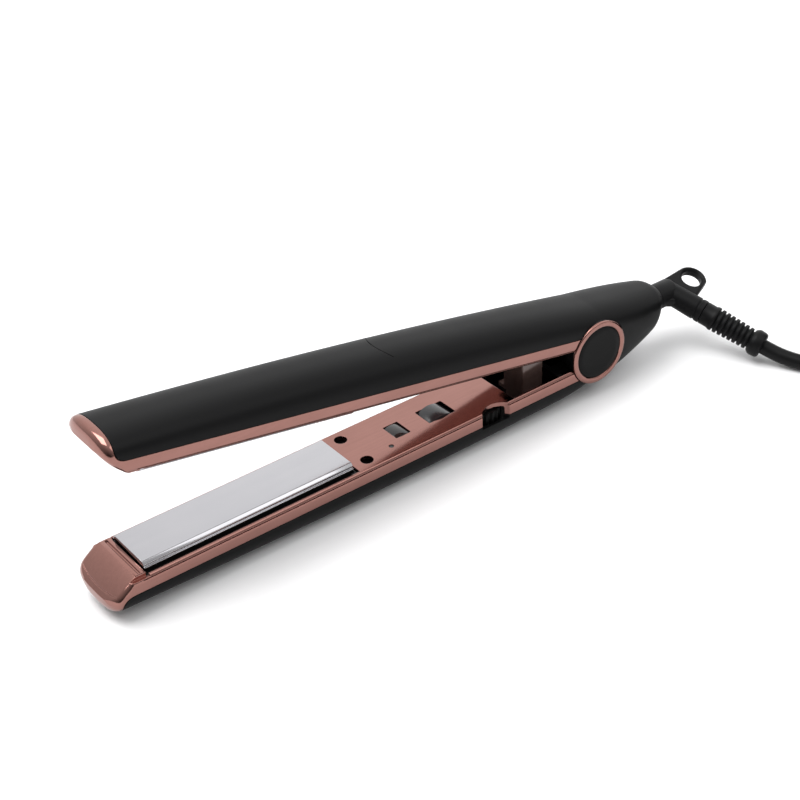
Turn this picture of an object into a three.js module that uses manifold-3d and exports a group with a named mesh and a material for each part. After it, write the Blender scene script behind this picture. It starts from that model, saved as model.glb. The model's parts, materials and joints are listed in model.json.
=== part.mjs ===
// Hair straightener: two hinged arms with heated plates, a spring tower between them,
// a temperature wheel and a power rocker in the lower arm, and a swivel cord at the tail.
// Millimetres, +Z up. +X runs from the tips to the cord. The origin is the middle of the
// flat strip that the lower arm rests on. The jaw is modelled fully open.
import * as THREE from 'three';
import { mergeVertices } from 'three/addons/utils/BufferGeometryUtils.js';
import Module from 'manifold-3d';

const wasm = await Module();
wasm.setup();

// ---- driving dimensions -------------------------------------------------------------
const GAP = 0.3; // between pieces that touch
const HALF_WIDTH = 15.1; // of each arm
const LIP_HEIGHT = 3.3; // from the plane where the plates meet to the liner's lip
const BRIDGE_HEIGHT = 2; // from that plane to the bar in front of the plate
const BAND_CORNER_HEIGHT = 5.5; // where the lip's round meets the flat side band
const LIP_ROUND_WIDTH = 4.2;
const PARTING_HEIGHT = 9.4; // where liner and outer shell meet
const CROWN_HEIGHT = 21.3; // highest point of the outer shell
const CROWN_BOW = 3.5; // how far the crown falls over BOW_LENGTH from the middle
const BOW_LENGTH = 130;
const CROWN_POWER = 2.6; // roundness of the shell's section
const REST_FLAT_DEPTH = 0.25; // taken off the lower crown to give a flat strip
const SHELL_WALL = 2;
const LINER_WALL = 1.8;
const FLOOR_THICKNESS = 2;

const NOSE_LENGTH = 12.5;
const NOSE_POWER = 3;
const NOSE_SIDE_ROUND = 5; // length over which the sides draw in
const NOSE_CROWN_ROUND = 4; // length over which the crown and the roll draw in
const NOSE_AXIS_HEIGHT = 12.5;
const SHELL_FRONT_X = -131.8; // the shell's front edge
const SHELL_CORNER_LENGTH = 5.7; // where the parting line turns up to that edge
const SHELL_CORNER_HEIGHT = 4.6;
const BRIDGE_LENGTH = 2.6;
const ROLL_RISE = 9.9; // how far the nose's top rolls away from the bridge
const ROLL_MIDDLE_SHARE = 0.45;
const ROLL_WALL_RISE = 2.5; // the roll's wall, measured upright

const PLATE_LENGTH = 95;
const PLATE_WIDTH = 20;
const PLATE_THICKNESS = 1.6;
const PLATE_CHAMFER = 1;
const PLATE_FLANGE = 0.7; // second step beside the chamfer
const PLATE_FRONT_X = -120;
const PLATE_TRAVEL = 1;
const WELL_HALF_WIDTH = 13.3;
const CUSHION_WALL = 1.5;

const PIVOT_X = 103;
const PIVOT_RISE = 0.84; // pivot axis above the plane where the plates meet
const OPEN_ANGLE_DEG = 10.1;
const CHEEK_RADIUS = 14.5;
const CHEEK_INNER = 10.4; // half distance between the cheeks
const FAR_SHRINK = 1.2; // the far cheek, ring and cap are this much smaller in radius
const RING_OUTER = 14.7;
const RING_WIDTH = 2.6;
const RING_PROUD = 0.8; // ring's face beyond the arm's side
const RING_POCKET = 1.4;
const KNUCKLE_RADIUS = 12.5;
const EAR_INNER = 5;
const PIN_RADIUS = 3;
const BUSH_WALL = 1.3;

const TAIL_LENGTH = 45; // pivot to tail end
const TAIL_END_HALF_WIDTH = 9;
const TAIL_WIDTH_POWER = 3;
const TAIL_ROUND = 6; // length of the rounding at its end
const TAIL_END_SHARE = 0.55; // of the section that is left at the end face
const CHIN_DEPTH = 19.5; // how far the tail hangs below the meeting plane
const CHIN_LENGTH = 12; // how far behind the pivot the chin starts to rise
const TAIL_LOW_RISE = 19.5; // from there to the end

const SCREW_X = -16.6;
const SCREW_Y = 8.9;
const SCREW_RADIUS = 1.3;
const SCREW_HEAD_RADIUS = 2.4;
const SCREW_LENGTH = 9;
const BOSS_RADIUS = 3.1;

const INDICATOR = { x: 5, y: 0.2, length: 7.4, width: 9.4 };
const LED_HOLE = { x: -3.5, y: 7.8, radius: 1.1 };
const ROCKER = { x: 25, y: 0.2, length: 13.6, width: 9.9 };
const BOARD = { front: -12, rear: 34, halfWidth: 10.5, thickness: 1.6, height: 12.5 };
const POST_RADIUS = 2.2;
const POST_INSET = 4; // posts stand this far in from the board's ends
const POST_Y = 6;

const WHEEL_X = 45.4;
const WHEEL_RADIUS = 9;
const WHEEL_RIM_INSET = 1.9; // from the arm's side to the wheel's rim
const WHEEL_THICKNESS = 7.4;
const WHEEL_TOP = 6.1;
const WHEEL_HUB_RADIUS = 2;
const POT_RADIUS = 5;
const POT_THICKNESS = 2.6;
const SCOOP_RADIUS = 8.7;
const SCOOP_OFFSET = 4.6; // its middle stands this far outside the arm's side
const SCOOP_DEPTH = 10.6;

const PIT_FRONT_X = 56;
const TOWER_FRONT_X = 67.5;
const TOWER_LENGTH = 11.5;
const TOWER_WIDTH = 12.6;
const TOWER_WALL = 1.4;
const TOWER_TOP = 6; // above the meeting plane
const TOWER_BASE = 13; // below it
const TOWER_FOOT_HALF_WIDTH = 4.5;
const SPRING_RADIUS = 3.4;
const SPRING_WIRE = 1.2;
const SPRING_TURNS = 6;
const SPRING_PAD_RADIUS = 6.5;
const SPRING_PAD_HEIGHT = 14; // above the meeting plane

const CORD_DIAMETER = 6.8;
const GLAND_DROP_DEG = 20.6; // how far the cord side hangs below level
const ELBOW_LEAN_DEG = 21; // the elbow leans this far back from square
const GLAND_BODY_X = 11.4; // from the tail's end to the elbow
const GLAND_RADIUS = 5.9;
const NECK_RADIUS = 4.6;
const ELBOW_RADIUS = 5.3;
const ELBOW_LENGTH = 18.5;
const LOOP_CENTRE = 14.7;
const LOOP_RADIUS = 7;
const LOOP_HOLE_RADIUS = 4.65;
const WEB_THICKNESS = 4.6;
const RELIEF_LENGTH = 30;
const RELIEF_COLLAR_RADIUS = 6.1;
const RELIEF_COLLAR_LENGTH = 4;

const COIL_X = 228; // middle of the coil's front fold
const COIL_Y = -66;
const COIL_RUN = 46; // straight part between the middles of its folds
const COIL_RADIUS = 23.8; // middle of the turns at a fold
const COIL_ACROSS = 2; // turns side by side
const COIL_LAYERS = 4; // turns on each other
const TIE_WIDTH = 10;
const PLUG_LENGTH = 38;
const PLUG_WIDTH = 34;
const PLUG_HEIGHT = 18;
const PLUG_PIN_RADIUS = 2.4;
const PLUG_PIN_LENGTH = 19;
const PLUG_PIN_SPACING = 19;

// ---- derived sizes ------------------------------------------------------------------
const CONTACT_Z = CROWN_HEIGHT - REST_FLAT_DEPTH; // height of the meeting plane
const NOSE_START_X = PLATE_FRONT_X - 1 - BRIDGE_LENGTH;
const NOSE_TIP_X = NOSE_START_X - NOSE_LENGTH;
const PLATE_REAR_X = PLATE_FRONT_X + PLATE_LENGTH;
const WELL_FRONT_X = PLATE_FRONT_X - 1;
const WELL_REAR_X = PLATE_REAR_X + 1.6;
const FLOOR_BOTTOM = LIP_HEIGHT + FLOOR_THICKNESS;
const PIVOT_CLEAR = CHEEK_RADIUS + 0.5;
const KNUCKLE_HALF = CHEEK_INNER - GAP;
const CHEEK_OUTER = HALF_WIDTH - RING_POCKET + 0.6;
const RING_FACE = HALF_WIDTH + RING_PROUD;
const TAIL_X = PIVOT_X + TAIL_LENGTH;
const WHEEL_Y = HALF_WIDTH - WHEEL_RIM_INSET - WHEEL_RADIUS;
const SCOOP_CENTRE_Y = HALF_WIDTH + SCOOP_OFFSET;
const OPEN_ANGLE = THREE.MathUtils.degToRad(OPEN_ANGLE_DEG);
const CORD_RADIUS = CORD_DIAMETER / 2;
const COIL_HALF_SECTION = (COIL_ACROSS * CORD_DIAMETER) / 2;
const COIL_OUTER = COIL_RADIUS + COIL_HALF_SECTION;

// ---- finishes -----------------------------------------------------------------------
const finish = (color, roughness, metalness) =>
  new THREE.MeshStandardMaterial({ color, roughness, metalness });
const softBlack = finish(0x17171a, 0.6, 0);
const gloss = finish(0x0c0c0e, 0.15, 0);
const roseGold = finish(0xb87a68, 0.22, 0.9);
const mirror = finish(0xd9dce0, 0.08, 1);
const steel = finish(0xa8abb0, 0.3, 1);
const brass = finish(0xc9a45a, 0.35, 1);
const darkRubber = finish(0x101012, 0.7, 0);
const ceramic = finish(0xe4e0d8, 0.8, 0);
const board = finish(0x1f5a36, 0.6, 0);
const lens = finish(0x1a0c0c, 0.05, 0);

// ---- solids -------------------------------------------------------------------------
function solidOf(geometry) {
  const bare = geometry.clone();
  bare.deleteAttribute('normal');
  bare.deleteAttribute('uv');
  const merged = mergeVertices(bare, 1e-4);
  const mesh = new wasm.Mesh({
    numProp: 3,
    vertProperties: merged.attributes.position.array,
    triVerts: new Uint32Array(merged.index.array),
  });
  return new wasm.Manifold(mesh);
}

function geometryOf(solid) {
  const made = solid.getMesh();
  const geometry = new THREE.BufferGeometry();
  geometry.setAttribute('position', new THREE.BufferAttribute(new Float32Array(made.vertProperties), 3));
  geometry.setIndex(new THREE.BufferAttribute(new Uint32Array(made.triVerts), 1));
  geometry.computeVertexNormals();
  return geometry;
}

const join = (first, ...others) => others.reduce((whole, part) => whole.add(part), first);
const cut = (first, ...others) => others.reduce((whole, part) => whole.subtract(part), first);

function box(x0, x1, y0, y1, z0, z1) {
  const geometry = new THREE.BoxGeometry(x1 - x0, y1 - y0, z1 - z0);
  return solidOf(geometry.translate((x0 + x1) / 2, (y0 + y1) / 2, (z0 + z1) / 2));
}

// A round bar along Y.
function barY(radius, y0, y1, x, z, sides = 32) {
  const geometry = new THREE.CylinderGeometry(radius, radius, y1 - y0, sides);
  return solidOf(geometry.translate(x, (y0 + y1) / 2, z));
}

// A round bar along Z.
function barZ(radius, z0, z1, x, y, sides = 24) {
  const geometry = new THREE.CylinderGeometry(radius, radius, z1 - z0, sides);
  return solidOf(geometry.rotateX(Math.PI / 2).translate(x, y, (z0 + z1) / 2));
}

// A side profile of [x, z] points, made solid between two values of y.
function slab(points, y0, y1) {
  const shape = new THREE.Shape(points.map(([x, z]) => new THREE.Vector2(x, z)));
  const geometry = new THREE.ExtrudeGeometry(shape, { depth: y1 - y0, bevelEnabled: false });
  return solidOf(geometry.rotateX(Math.PI / 2).translate(0, y1, 0));
}

// A body whose section is the outline in [u, v], placed at each station x by place(x, u, v).
function loft(outline, stations, place) {
  const shape = new THREE.Shape(outline.map(([u, v]) => new THREE.Vector2(u, v)));
  const count = stations.length - 1;
  const geometry = new THREE.ExtrudeGeometry(shape, { depth: count, steps: count, bevelEnabled: false });
  const position = geometry.attributes.position;
  for (let i = 0; i < position.count; i += 1) {
    const x = stations[Math.round(position.getZ(i))];
    const [y, z] = place(x, position.getX(i), position.getY(i));
    position.setXYZ(i, x, y, z);
  }
  return solidOf(geometry);
}

// ---- the arm's outline --------------------------------------------------------------
const crownAt = (x) => CROWN_HEIGHT - CROWN_BOW * (x / BOW_LENGTH) ** 2;

// Half of a rounded section, from u = 1 over the top to u = -1.
function crownOutline(steps, sign = 1) {
  const points = [];
  for (let i = 0; i <= steps; i += 1) {
    const angle = (Math.PI * i) / steps;
    const u = Math.sign(Math.cos(angle)) * Math.abs(Math.cos(angle)) ** (2 / CROWN_POWER);
    points.push([u, sign * Math.abs(Math.sin(angle)) ** (2 / CROWN_POWER)]);
  }
  return points;
}

// The section of an arm: crown above v = 0, side band and rounded lip below it.
function armOutline() {
  const bandShare = (PARTING_HEIGHT - BAND_CORNER_HEIGHT) / (PARTING_HEIGHT - BRIDGE_HEIGHT);
  const flatShare = 1 - LIP_ROUND_WIDTH / HALF_WIDTH;
  const points = crownOutline(16);
  const corner = [];
  for (let i = 0; i <= 3; i += 1) {
    const angle = (Math.PI / 6) * i;
    const u = flatShare + (1 - flatShare) * Math.cos(angle);
    corner.push([u, -bandShare - (1 - bandShare) * Math.sin(angle)]);
  }
  const left = corner.map(([u, v]) => [-u, v]);
  return [...points, ...left, ...corner.reverse()];
}

// What is left of a section near the nose's tip, when it draws in over the given length.
function noseShare(fromTip, length) {
  const along = Math.max(0, 1 - fromTip / length);
  return Math.max(0, 1 - along ** NOSE_POWER) ** (1 / NOSE_POWER);
}

const NOSE_STATIONS = [0.06, 0.25, 0.6, 1.2, 2, 3.2, 5]; // from the tip

// The full outer form of an arm, or the same form drawn in by inset.
function armForm(inset, rearStations, crown = crownAt) {
  const tip = NOSE_TIP_X + inset;
  const nose = NOSE_STATIONS.map((fromTip) => tip + fromTip);
  const middle = [-100, -70, -35, 0, 35, 65];
  return loft(armOutline(), [...nose, NOSE_START_X, ...middle, ...rearStations], (x, u, v) => {
    const width = (HALF_WIDTH - inset) * noseShare(x - tip, NOSE_SIDE_ROUND);
    const above = v * (crown(x) - inset - PARTING_HEIGHT);
    const below = v * (PARTING_HEIGHT - BRIDGE_HEIGHT - inset);
    const z = PARTING_HEIGHT + (v > 0 ? above : below);
    const share = noseShare(x - tip, NOSE_CROWN_ROUND);
    return [u * width, NOSE_AXIS_HEIGHT + (z - NOSE_AXIS_HEIGHT) * share];
  });
}

// Everything on the shell's side of the parting line, shifted towards the liner by grow.
function shellSide(grow, rearX) {
  const front = SHELL_FRONT_X - grow;
  const top = PARTING_HEIGHT - grow;
  const corner = new THREE.QuadraticBezierCurve(
    new THREE.Vector2(front + SHELL_CORNER_LENGTH, top),
    new THREE.Vector2(front, top),
    new THREE.Vector2(front, top + SHELL_CORNER_HEIGHT),
  );
  const turn = corner.getPoints(6).map((point) => [point.x, point.y]);
  const high = 2 * CROWN_HEIGHT;
  return slab([...turn, [front, high], [rearX, high], [rearX, top]], -2 * HALF_WIDTH, 2 * HALF_WIDTH);
}

// The lower arm's crown rises to the knuckle near the pivot.
function lowerCrown(x) {
  const start = PIVOT_X - 19;
  const share = Math.max(0, x - start) / 20;
  return PARTING_HEIGHT + (crownAt(x) - PARTING_HEIGHT) * Math.sqrt(1 - share ** 2);
}

const REAR = [84, 90, 95, 99, PIVOT_X];

// ---- liner, shared by both arms -----------------------------------------------------
function screwHole(x, y) {
  const bore = barZ(SCREW_RADIUS + GAP, 0, FLOOR_BOTTOM + 1, x, y, 16);
  const head = new THREE.CylinderGeometry(SCREW_RADIUS + GAP, SCREW_HEAD_RADIUS + GAP, 1.6, 20);
  const sink = solidOf(head.rotateX(Math.PI / 2).translate(x, y, LIP_HEIGHT + 0.6));
  return join(bore, sink);
}

// Everything in front of the nose's roll, which falls away from the bridge to the tip.
function rollSide(rise) {
  const tip = NOSE_TIP_X - 0.5;
  const middle = (NOSE_START_X + tip) / 2;
  const points = [
    [NOSE_START_X, BRIDGE_HEIGHT + rise - 0.01],
    [middle, BRIDGE_HEIGHT + rise + ROLL_MIDDLE_SHARE * ROLL_RISE],
    [tip, BRIDGE_HEIGHT + rise + ROLL_RISE],
    [tip, -5],
    [NOSE_START_X, -5],
  ];
  return slab(points, -2 * HALF_WIDTH, 2 * HALF_WIDTH);
}

function linerBlank() {
  const form = armForm(0, REAR);
  const hollow = armForm(LINER_WALL, REAR);
  const below = box(NOSE_TIP_X - 1, PIVOT_X + 1, -20, 20, FLOOR_BOTTOM + 1.4, 40);
  const floorHollow = box(WELL_FRONT_X, PIVOT_X + 1, -20, 20, FLOOR_BOTTOM, 40);
  const lipCut = box(WELL_FRONT_X, PIVOT_X + 5, -20, 20, -5, LIP_HEIGHT);
  const well = box(WELL_FRONT_X, WELL_REAR_X, -WELL_HALF_WIDTH, WELL_HALF_WIDTH, -5, 40);
  const inside = cut(join(hollow.intersect(below), hollow.intersect(floorHollow)), rollSide(ROLL_WALL_RISE));
  return cut(form, shellSide(GAP, PIVOT_X + 20), inside, lipCut, well, rollSide(0));
}

const screws = [-SCREW_Y, SCREW_Y];

// Room for the wheel under the floor and in the walls beside it.
function wheelWay() {
  const low = WHEEL_TOP + WHEEL_THICKNESS + 0.5;
  return barZ(WHEEL_RADIUS + 0.6, FLOOR_BOTTOM - 0.1, low, WHEEL_X, WHEEL_Y, 32);
}

function upperLiner() {
  const barrel = barY(KNUCKLE_RADIUS + 0.6, -KNUCKLE_HALF - GAP, KNUCKLE_HALF + GAP, PIVOT_X, PIVOT_RISE);
  const cheeks = barY(PIVOT_CLEAR, -20, 20, PIVOT_X, PIVOT_RISE);
  const towerWay = box(TOWER_FRONT_X - 3, PIVOT_X, -TOWER_WIDTH / 2 - 1, TOWER_WIDTH / 2 + 1, -5, 20);
  return cut(linerBlank(), barrel, cheeks, towerWay, ...screws.map((y) => screwHole(SCREW_X, y)));
}

function lowerLiner() {
  const window = (opening) => {
    const halfLength = opening.length / 2;
    const halfWidth = opening.width / 2;
    const { x, y } = opening;
    return box(x - halfLength, x + halfLength, y - halfWidth, y + halfWidth, 0, 8);
  };
  const led = barZ(LED_HOLE.radius, 0, 8, LED_HOLE.x, LED_HOLE.y, 16);
  const scoop = barZ(SCOOP_RADIUS, 0, SCOOP_DEPTH, WHEEL_X, SCOOP_CENTRE_Y, 32);
  const pit = box(PIT_FRONT_X, PIVOT_X + 1, -WELL_HALF_WIDTH, WELL_HALF_WIDTH, 0, 20);
  const cheeks = barY(PIVOT_CLEAR, -20, 20, PIVOT_X, -PIVOT_RISE);
  const holes = screws.map((y) => screwHole(SCREW_X, y));
  return cut(linerBlank(), window(INDICATOR), window(ROCKER), led, scoop, wheelWay(), pit, cheeks, ...holes);
}

// ---- shells -------------------------------------------------------------------------
function bosses(shellInside, bore) {
  const posts = screws.map((y) => barZ(BOSS_RADIUS, FLOOR_BOTTOM + GAP, CROWN_HEIGHT, SCREW_X, y));
  const holes = screws.map((y) => barZ(bore, 0, FLOOR_BOTTOM + SCREW_LENGTH, SCREW_X, y, 16));
  return cut(join(...posts).intersect(shellInside), ...holes);
}

// Posts on the shell's floor that carry the board and the wheel's potentiometer.
function floorPosts(shellInside) {
  const top = BOARD.height + BOARD.thickness + GAP;
  const corners = [BOARD.front + POST_INSET, BOARD.rear - POST_INSET].flatMap((x) => [
    barZ(POST_RADIUS, top, CROWN_HEIGHT, x, -POST_Y, 16),
    barZ(POST_RADIUS, top, CROWN_HEIGHT, x, POST_Y, 16),
  ]);
  const under = WHEEL_TOP + WHEEL_THICKNESS + POT_THICKNESS + 2 * GAP;
  const pot = barZ(POT_RADIUS - 1, under, CROWN_HEIGHT, WHEEL_X, WHEEL_Y, 16);
  return join(...corners, pot).intersect(shellInside);
}

function lowerShell() {
  const form = armForm(0, REAR, lowerCrown);
  const hollow = armForm(SHELL_WALL, REAR, lowerCrown);
  const inside = armForm(SHELL_WALL - 0.5, REAR, lowerCrown);
  const skin = cut(form.intersect(shellSide(0, PIVOT_X)), hollow);
  const top = LIP_HEIGHT + 0.6;
  const bulkhead = box(82, 84.5, -WELL_HALF_WIDTH + 0.8, WELL_HALF_WIDTH - 0.8, top, 30).intersect(inside);
  const ears = box(82, PIVOT_X, -KNUCKLE_HALF, KNUCKLE_HALF, top, 30).intersect(inside);
  const barrel = barY(KNUCKLE_RADIUS, -KNUCKLE_HALF, KNUCKLE_HALF, PIVOT_X, -PIVOT_RISE);
  const slot = box(84.5, PIVOT_X + 20, -EAR_INNER, EAR_INNER, -20, CROWN_HEIGHT - 8);
  const cheekWay = join(
    barY(PIVOT_CLEAR, KNUCKLE_HALF, 20, PIVOT_X, -PIVOT_RISE),
    barY(PIVOT_CLEAR, -20, -KNUCKLE_HALF, PIVOT_X, -PIVOT_RISE),
  );
  const bushWay = barY(PIN_RADIUS + GAP + BUSH_WALL + GAP, -20, 20, PIVOT_X, -PIVOT_RISE);
  const scoop = barZ(SCOOP_RADIUS, 0, SCOOP_DEPTH, WHEEL_X, SCOOP_CENTRE_Y, 32);
  const restCut = box(-200, 200, -20, 20, CONTACT_Z, 40);
  const whole = cut(join(skin, bulkhead, ears, barrel), slot, cheekWay, bushWay, scoop, wheelWay(), restCut);
  return join(whole, bosses(inside, SCREW_RADIUS + GAP), floorPosts(inside));
}

// The tail keeps the arm's crown, rises from the chin and rounds off at the gland.
function tailForm(inset) {
  const ends = [142, 144.5, 146.3, 147.5, TAIL_X];
  const stations = [PIVOT_X - 16, PIVOT_X, 109, PIVOT_X + CHIN_LENGTH, 120, 126, 132, 137, ...ends];
  const outline = [...crownOutline(16), ...crownOutline(16, -1).reverse().slice(1, -1)];
  return loft(outline, stations, (x, u, v) => {
    const share = Math.max(0, x - PIVOT_X) / TAIL_LENGTH;
    const width = HALF_WIDTH - (HALF_WIDTH - TAIL_END_HALF_WIDTH) * share ** TAIL_WIDTH_POWER;
    const high = crownAt(Math.min(x, PIVOT_X));
    const rise = Math.max(0, x - PIVOT_X - CHIN_LENGTH) / (TAIL_LENGTH - CHIN_LENGTH);
    const low = -CHIN_DEPTH + TAIL_LOW_RISE * rise;
    const middle = PARTING_HEIGHT + share;
    const z = v * (v > 0 ? high - inset - middle : middle - low - inset);
    const past = Math.max(0, x - TAIL_X + TAIL_ROUND) / TAIL_ROUND;
    const round = TAIL_END_SHARE + (1 - TAIL_END_SHARE) * Math.sqrt(1 - past ** 2);
    return [u * (width - inset) * round, middle + z * round];
  });
}

function upperShell() {
  const arm = armForm(0, REAR).intersect(shellSide(0, PIVOT_X + 1));
  const behind = box(PIVOT_X + 8, TAIL_X + 1, -20, 20, -30, 40);
  const above = box(PIVOT_X - 1, PIVOT_X + 9, -20, 20, -9, 40);
  const tail = tailForm(0).intersect(join(behind, above));
  const farCheek = CHEEK_RADIUS - FAR_SHRINK;
  const discs = join(
    barY(CHEEK_RADIUS, -HALF_WIDTH, 0, PIVOT_X, PIVOT_RISE, 48),
    barY(farCheek, -1, HALF_WIDTH, PIVOT_X, PIVOT_RISE, 48),
  );
  const ringWay = join(
    barY(RING_OUTER - FAR_SHRINK + GAP, CHEEK_OUTER, 20, PIVOT_X, PIVOT_RISE, 48),
    barY(RING_OUTER + GAP, -20, -CHEEK_OUTER, PIVOT_X, PIVOT_RISE, 48),
  );
  const knuckleWay = barY(KNUCKLE_RADIUS + 0.9, -CHEEK_INNER, CHEEK_INNER, PIVOT_X, PIVOT_RISE, 48);
  const undersideWay = box(PIVOT_X - 20, PIVOT_X + 8, -CHEEK_INNER, CHEEK_INNER, -30, PARTING_HEIGHT);
  const armHollow = armForm(SHELL_WALL, REAR).intersect(box(-200, PIVOT_X, -20, 20, -5, 40));
  const tailInner = box(PIVOT_X - 0.5, TAIL_X - SHELL_WALL, -CHEEK_INNER, CHEEK_INNER, -30, 40);
  const tailHollow = tailForm(SHELL_WALL).intersect(tailInner);
  const pinWay = barY(PIN_RADIUS + GAP, -20, 20, PIVOT_X, PIVOT_RISE, 24);
  const outside = join(arm, tail, discs);
  const inside = armForm(SHELL_WALL - 0.5, REAR);
  const cheekKeep = join(
    barY(farCheek, CHEEK_INNER, CHEEK_OUTER, PIVOT_X, PIVOT_RISE, 48),
    barY(CHEEK_RADIUS, -CHEEK_OUTER, -CHEEK_INNER, PIVOT_X, PIVOT_RISE, 48),
  );
  const skin = join(cut(outside, armHollow, tailHollow), cheekKeep);
  const whole = cut(skin, ringWay, knuckleWay, undersideWay, pinWay, glandWay());
  return join(whole, bosses(inside, SCREW_RADIUS + GAP), springBoss());
}

// ---- pivot --------------------------------------------------------------------------
const ringRadius = (side) => RING_OUTER - (side > 0 ? FAR_SHRINK : 0);

function ringOn(side) {
  const y0 = side > 0 ? CHEEK_OUTER + GAP : -RING_FACE;
  const y1 = side > 0 ? RING_FACE : -CHEEK_OUTER - GAP;
  const radius = ringRadius(side);
  const outer = barY(radius, y0, y1, PIVOT_X, PIVOT_RISE, 48);
  return cut(outer, barY(radius - RING_WIDTH, -30, 30, PIVOT_X, PIVOT_RISE, 48));
}

function capOn(side) {
  const y0 = side > 0 ? CHEEK_OUTER + GAP : -RING_FACE + 0.4;
  const y1 = side > 0 ? RING_FACE - 0.4 : -CHEEK_OUTER - GAP;
  return barY(ringRadius(side) - RING_WIDTH - GAP, y0, y1, PIVOT_X, PIVOT_RISE, 48);
}

function bushOn(side) {
  const y0 = side > 0 ? EAR_INNER : -KNUCKLE_HALF;
  const y1 = side > 0 ? KNUCKLE_HALF : -EAR_INNER;
  const outer = barY(PIN_RADIUS + GAP + BUSH_WALL, y0, y1, PIVOT_X, -PIVOT_RISE, 24);
  return cut(outer, barY(PIN_RADIUS + GAP, -30, 30, PIVOT_X, -PIVOT_RISE, 24));
}

// ---- heated plate stack, in the arm's frame -----------------------------------------
function plateSolid() {
  const half = PLATE_WIDTH / 2;
  const chamfered = half + PLATE_CHAMFER;
  const flanged = chamfered + PLATE_FLANGE;
  const section = [
    [-half, 0],
    [half, 0],
    [chamfered, PLATE_CHAMFER],
    [chamfered, PLATE_THICKNESS + 0.4],
    [flanged, PLATE_THICKNESS + 0.4],
    [flanged, PLATE_THICKNESS + 1.2],
    [-flanged, PLATE_THICKNESS + 1.2],
    [-flanged, PLATE_THICKNESS + 0.4],
    [-chamfered, PLATE_THICKNESS + 0.4],
    [-chamfered, PLATE_CHAMFER],
  ];
  return loft(section.reverse(), [PLATE_FRONT_X, PLATE_REAR_X], (x, u, v) => [u, v]);
}

const PLATE_UNDER = PLATE_THICKNESS + 1.2;
const HEATER_THICKNESS = 2.4;
const CARRIER_TOP = PLATE_UNDER + HEATER_THICKNESS + 2 * GAP;
const CARRIER_BOTTOM = CARRIER_TOP + 2.5;

const heaterSolid = () =>
  box(PLATE_FRONT_X + 8, PLATE_REAR_X - 8, -7, 7, PLATE_UNDER + GAP, PLATE_UNDER + GAP + HEATER_THICKNESS);

// The carrier holds the plate and the heater, and slides in the well.
function carrierSolid() {
  const half = WELL_HALF_WIDTH - GAP - CUSHION_WALL - GAP;
  const x0 = PLATE_FRONT_X + 1;
  const x1 = PLATE_REAR_X - 1;
  const block = box(x0, x1, -half, half, PLATE_UNDER + GAP, CARRIER_BOTTOM);
  return cut(block, box(x0 + 5, x1 - 5, -8.5, 8.5, 0, CARRIER_TOP));
}

// The cushion is a soft frame that fills the gap beside the carrier.
function cushionSolid() {
  const half = WELL_HALF_WIDTH - GAP;
  const outer = box(WELL_FRONT_X + GAP, WELL_REAR_X - GAP, -half, half, LIP_HEIGHT + 0.8, 8.6);
  const inner = half - CUSHION_WALL;
  return cut(outer, box(PLATE_FRONT_X + 0.5, PLATE_REAR_X - 0.5 + 0.9, -inner, inner, 0, 20));
}

// ---- small pieces of the lower arm, in its frame ------------------------------------
function indicatorLens() {
  const x0 = INDICATOR.x - INDICATOR.length / 2 + GAP;
  const x1 = INDICATOR.x + INDICATOR.length / 2 - GAP;
  const half = INDICATOR.width / 2 - GAP;
  const dome = barY(9, -half, half, INDICATOR.x, LIP_HEIGHT + 8.2, 48);
  const block = box(x0, x1, -half, half, LIP_HEIGHT - 0.8, FLOOR_BOTTOM);
  return dome.intersect(block).translate([0, INDICATOR.y, 0]);
}

function rockerSolid() {
  const half = ROCKER.width / 2 - GAP;
  const drum = barY(9.5, -half, half, ROCKER.x, LIP_HEIGHT + 8.3, 48);
  const length = ROCKER.length / 2 - 0.9;
  const keep = box(ROCKER.x - length, ROCKER.x + length, -half, half, LIP_HEIGHT - 1.2, FLOOR_BOTTOM + 2.4);
  return drum.intersect(keep).translate([0, ROCKER.y, 0]);
}

function rockerHousing() {
  const halfLength = ROCKER.length / 2 + 1;
  const y0 = ROCKER.y - ROCKER.width / 2 - 1;
  const y1 = ROCKER.y + ROCKER.width / 2 + 1;
  const x0 = ROCKER.x - halfLength;
  const x1 = ROCKER.x + halfLength;
  const outer = box(x0, x1, y0, y1, FLOOR_BOTTOM + GAP, BOARD.height - GAP);
  return cut(outer, box(x0 + 1, x1 - 1, y0 + 1, y1 - 1, 0, FLOOR_BOTTOM + 4.6));
}

function ledSolid() {
  const { x, y, radius } = LED_HOLE;
  const lensTop = barZ(radius - 0.25, LIP_HEIGHT + 0.2, FLOOR_BOTTOM + 1, x, y, 16);
  return join(lensTop, barZ(1.9, FLOOR_BOTTOM + 0.5, BOARD.height - GAP, x, y, 16));
}

function boardSolid() {
  const half = BOARD.halfWidth;
  return box(BOARD.front, BOARD.rear, -half, half, BOARD.height, BOARD.height + BOARD.thickness);
}

function wheelSolid() {
  const ribs = 20;
  const shape = new THREE.Shape();
  for (let i = 0; i < ribs * 2; i += 1) {
    const radius = i % 2 ? WHEEL_RADIUS - 0.7 : WHEEL_RADIUS;
    const middle = ((i + 0.5) * Math.PI) / ribs;
    for (const offset of [-0.06, 0.06]) {
      const angle = middle + offset;
      if (i === 0 && offset < 0) shape.moveTo(radius * Math.cos(angle), radius * Math.sin(angle));
      else shape.lineTo(radius * Math.cos(angle), radius * Math.sin(angle));
    }
  }
  const geometry = new THREE.ExtrudeGeometry(shape, { depth: WHEEL_THICKNESS, bevelEnabled: false });
  const disc = solidOf(geometry.translate(WHEEL_X, WHEEL_Y, WHEEL_TOP));
  return cut(disc, barZ(WHEEL_HUB_RADIUS + GAP, 0, 40, WHEEL_X, WHEEL_Y, 16));
}

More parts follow.
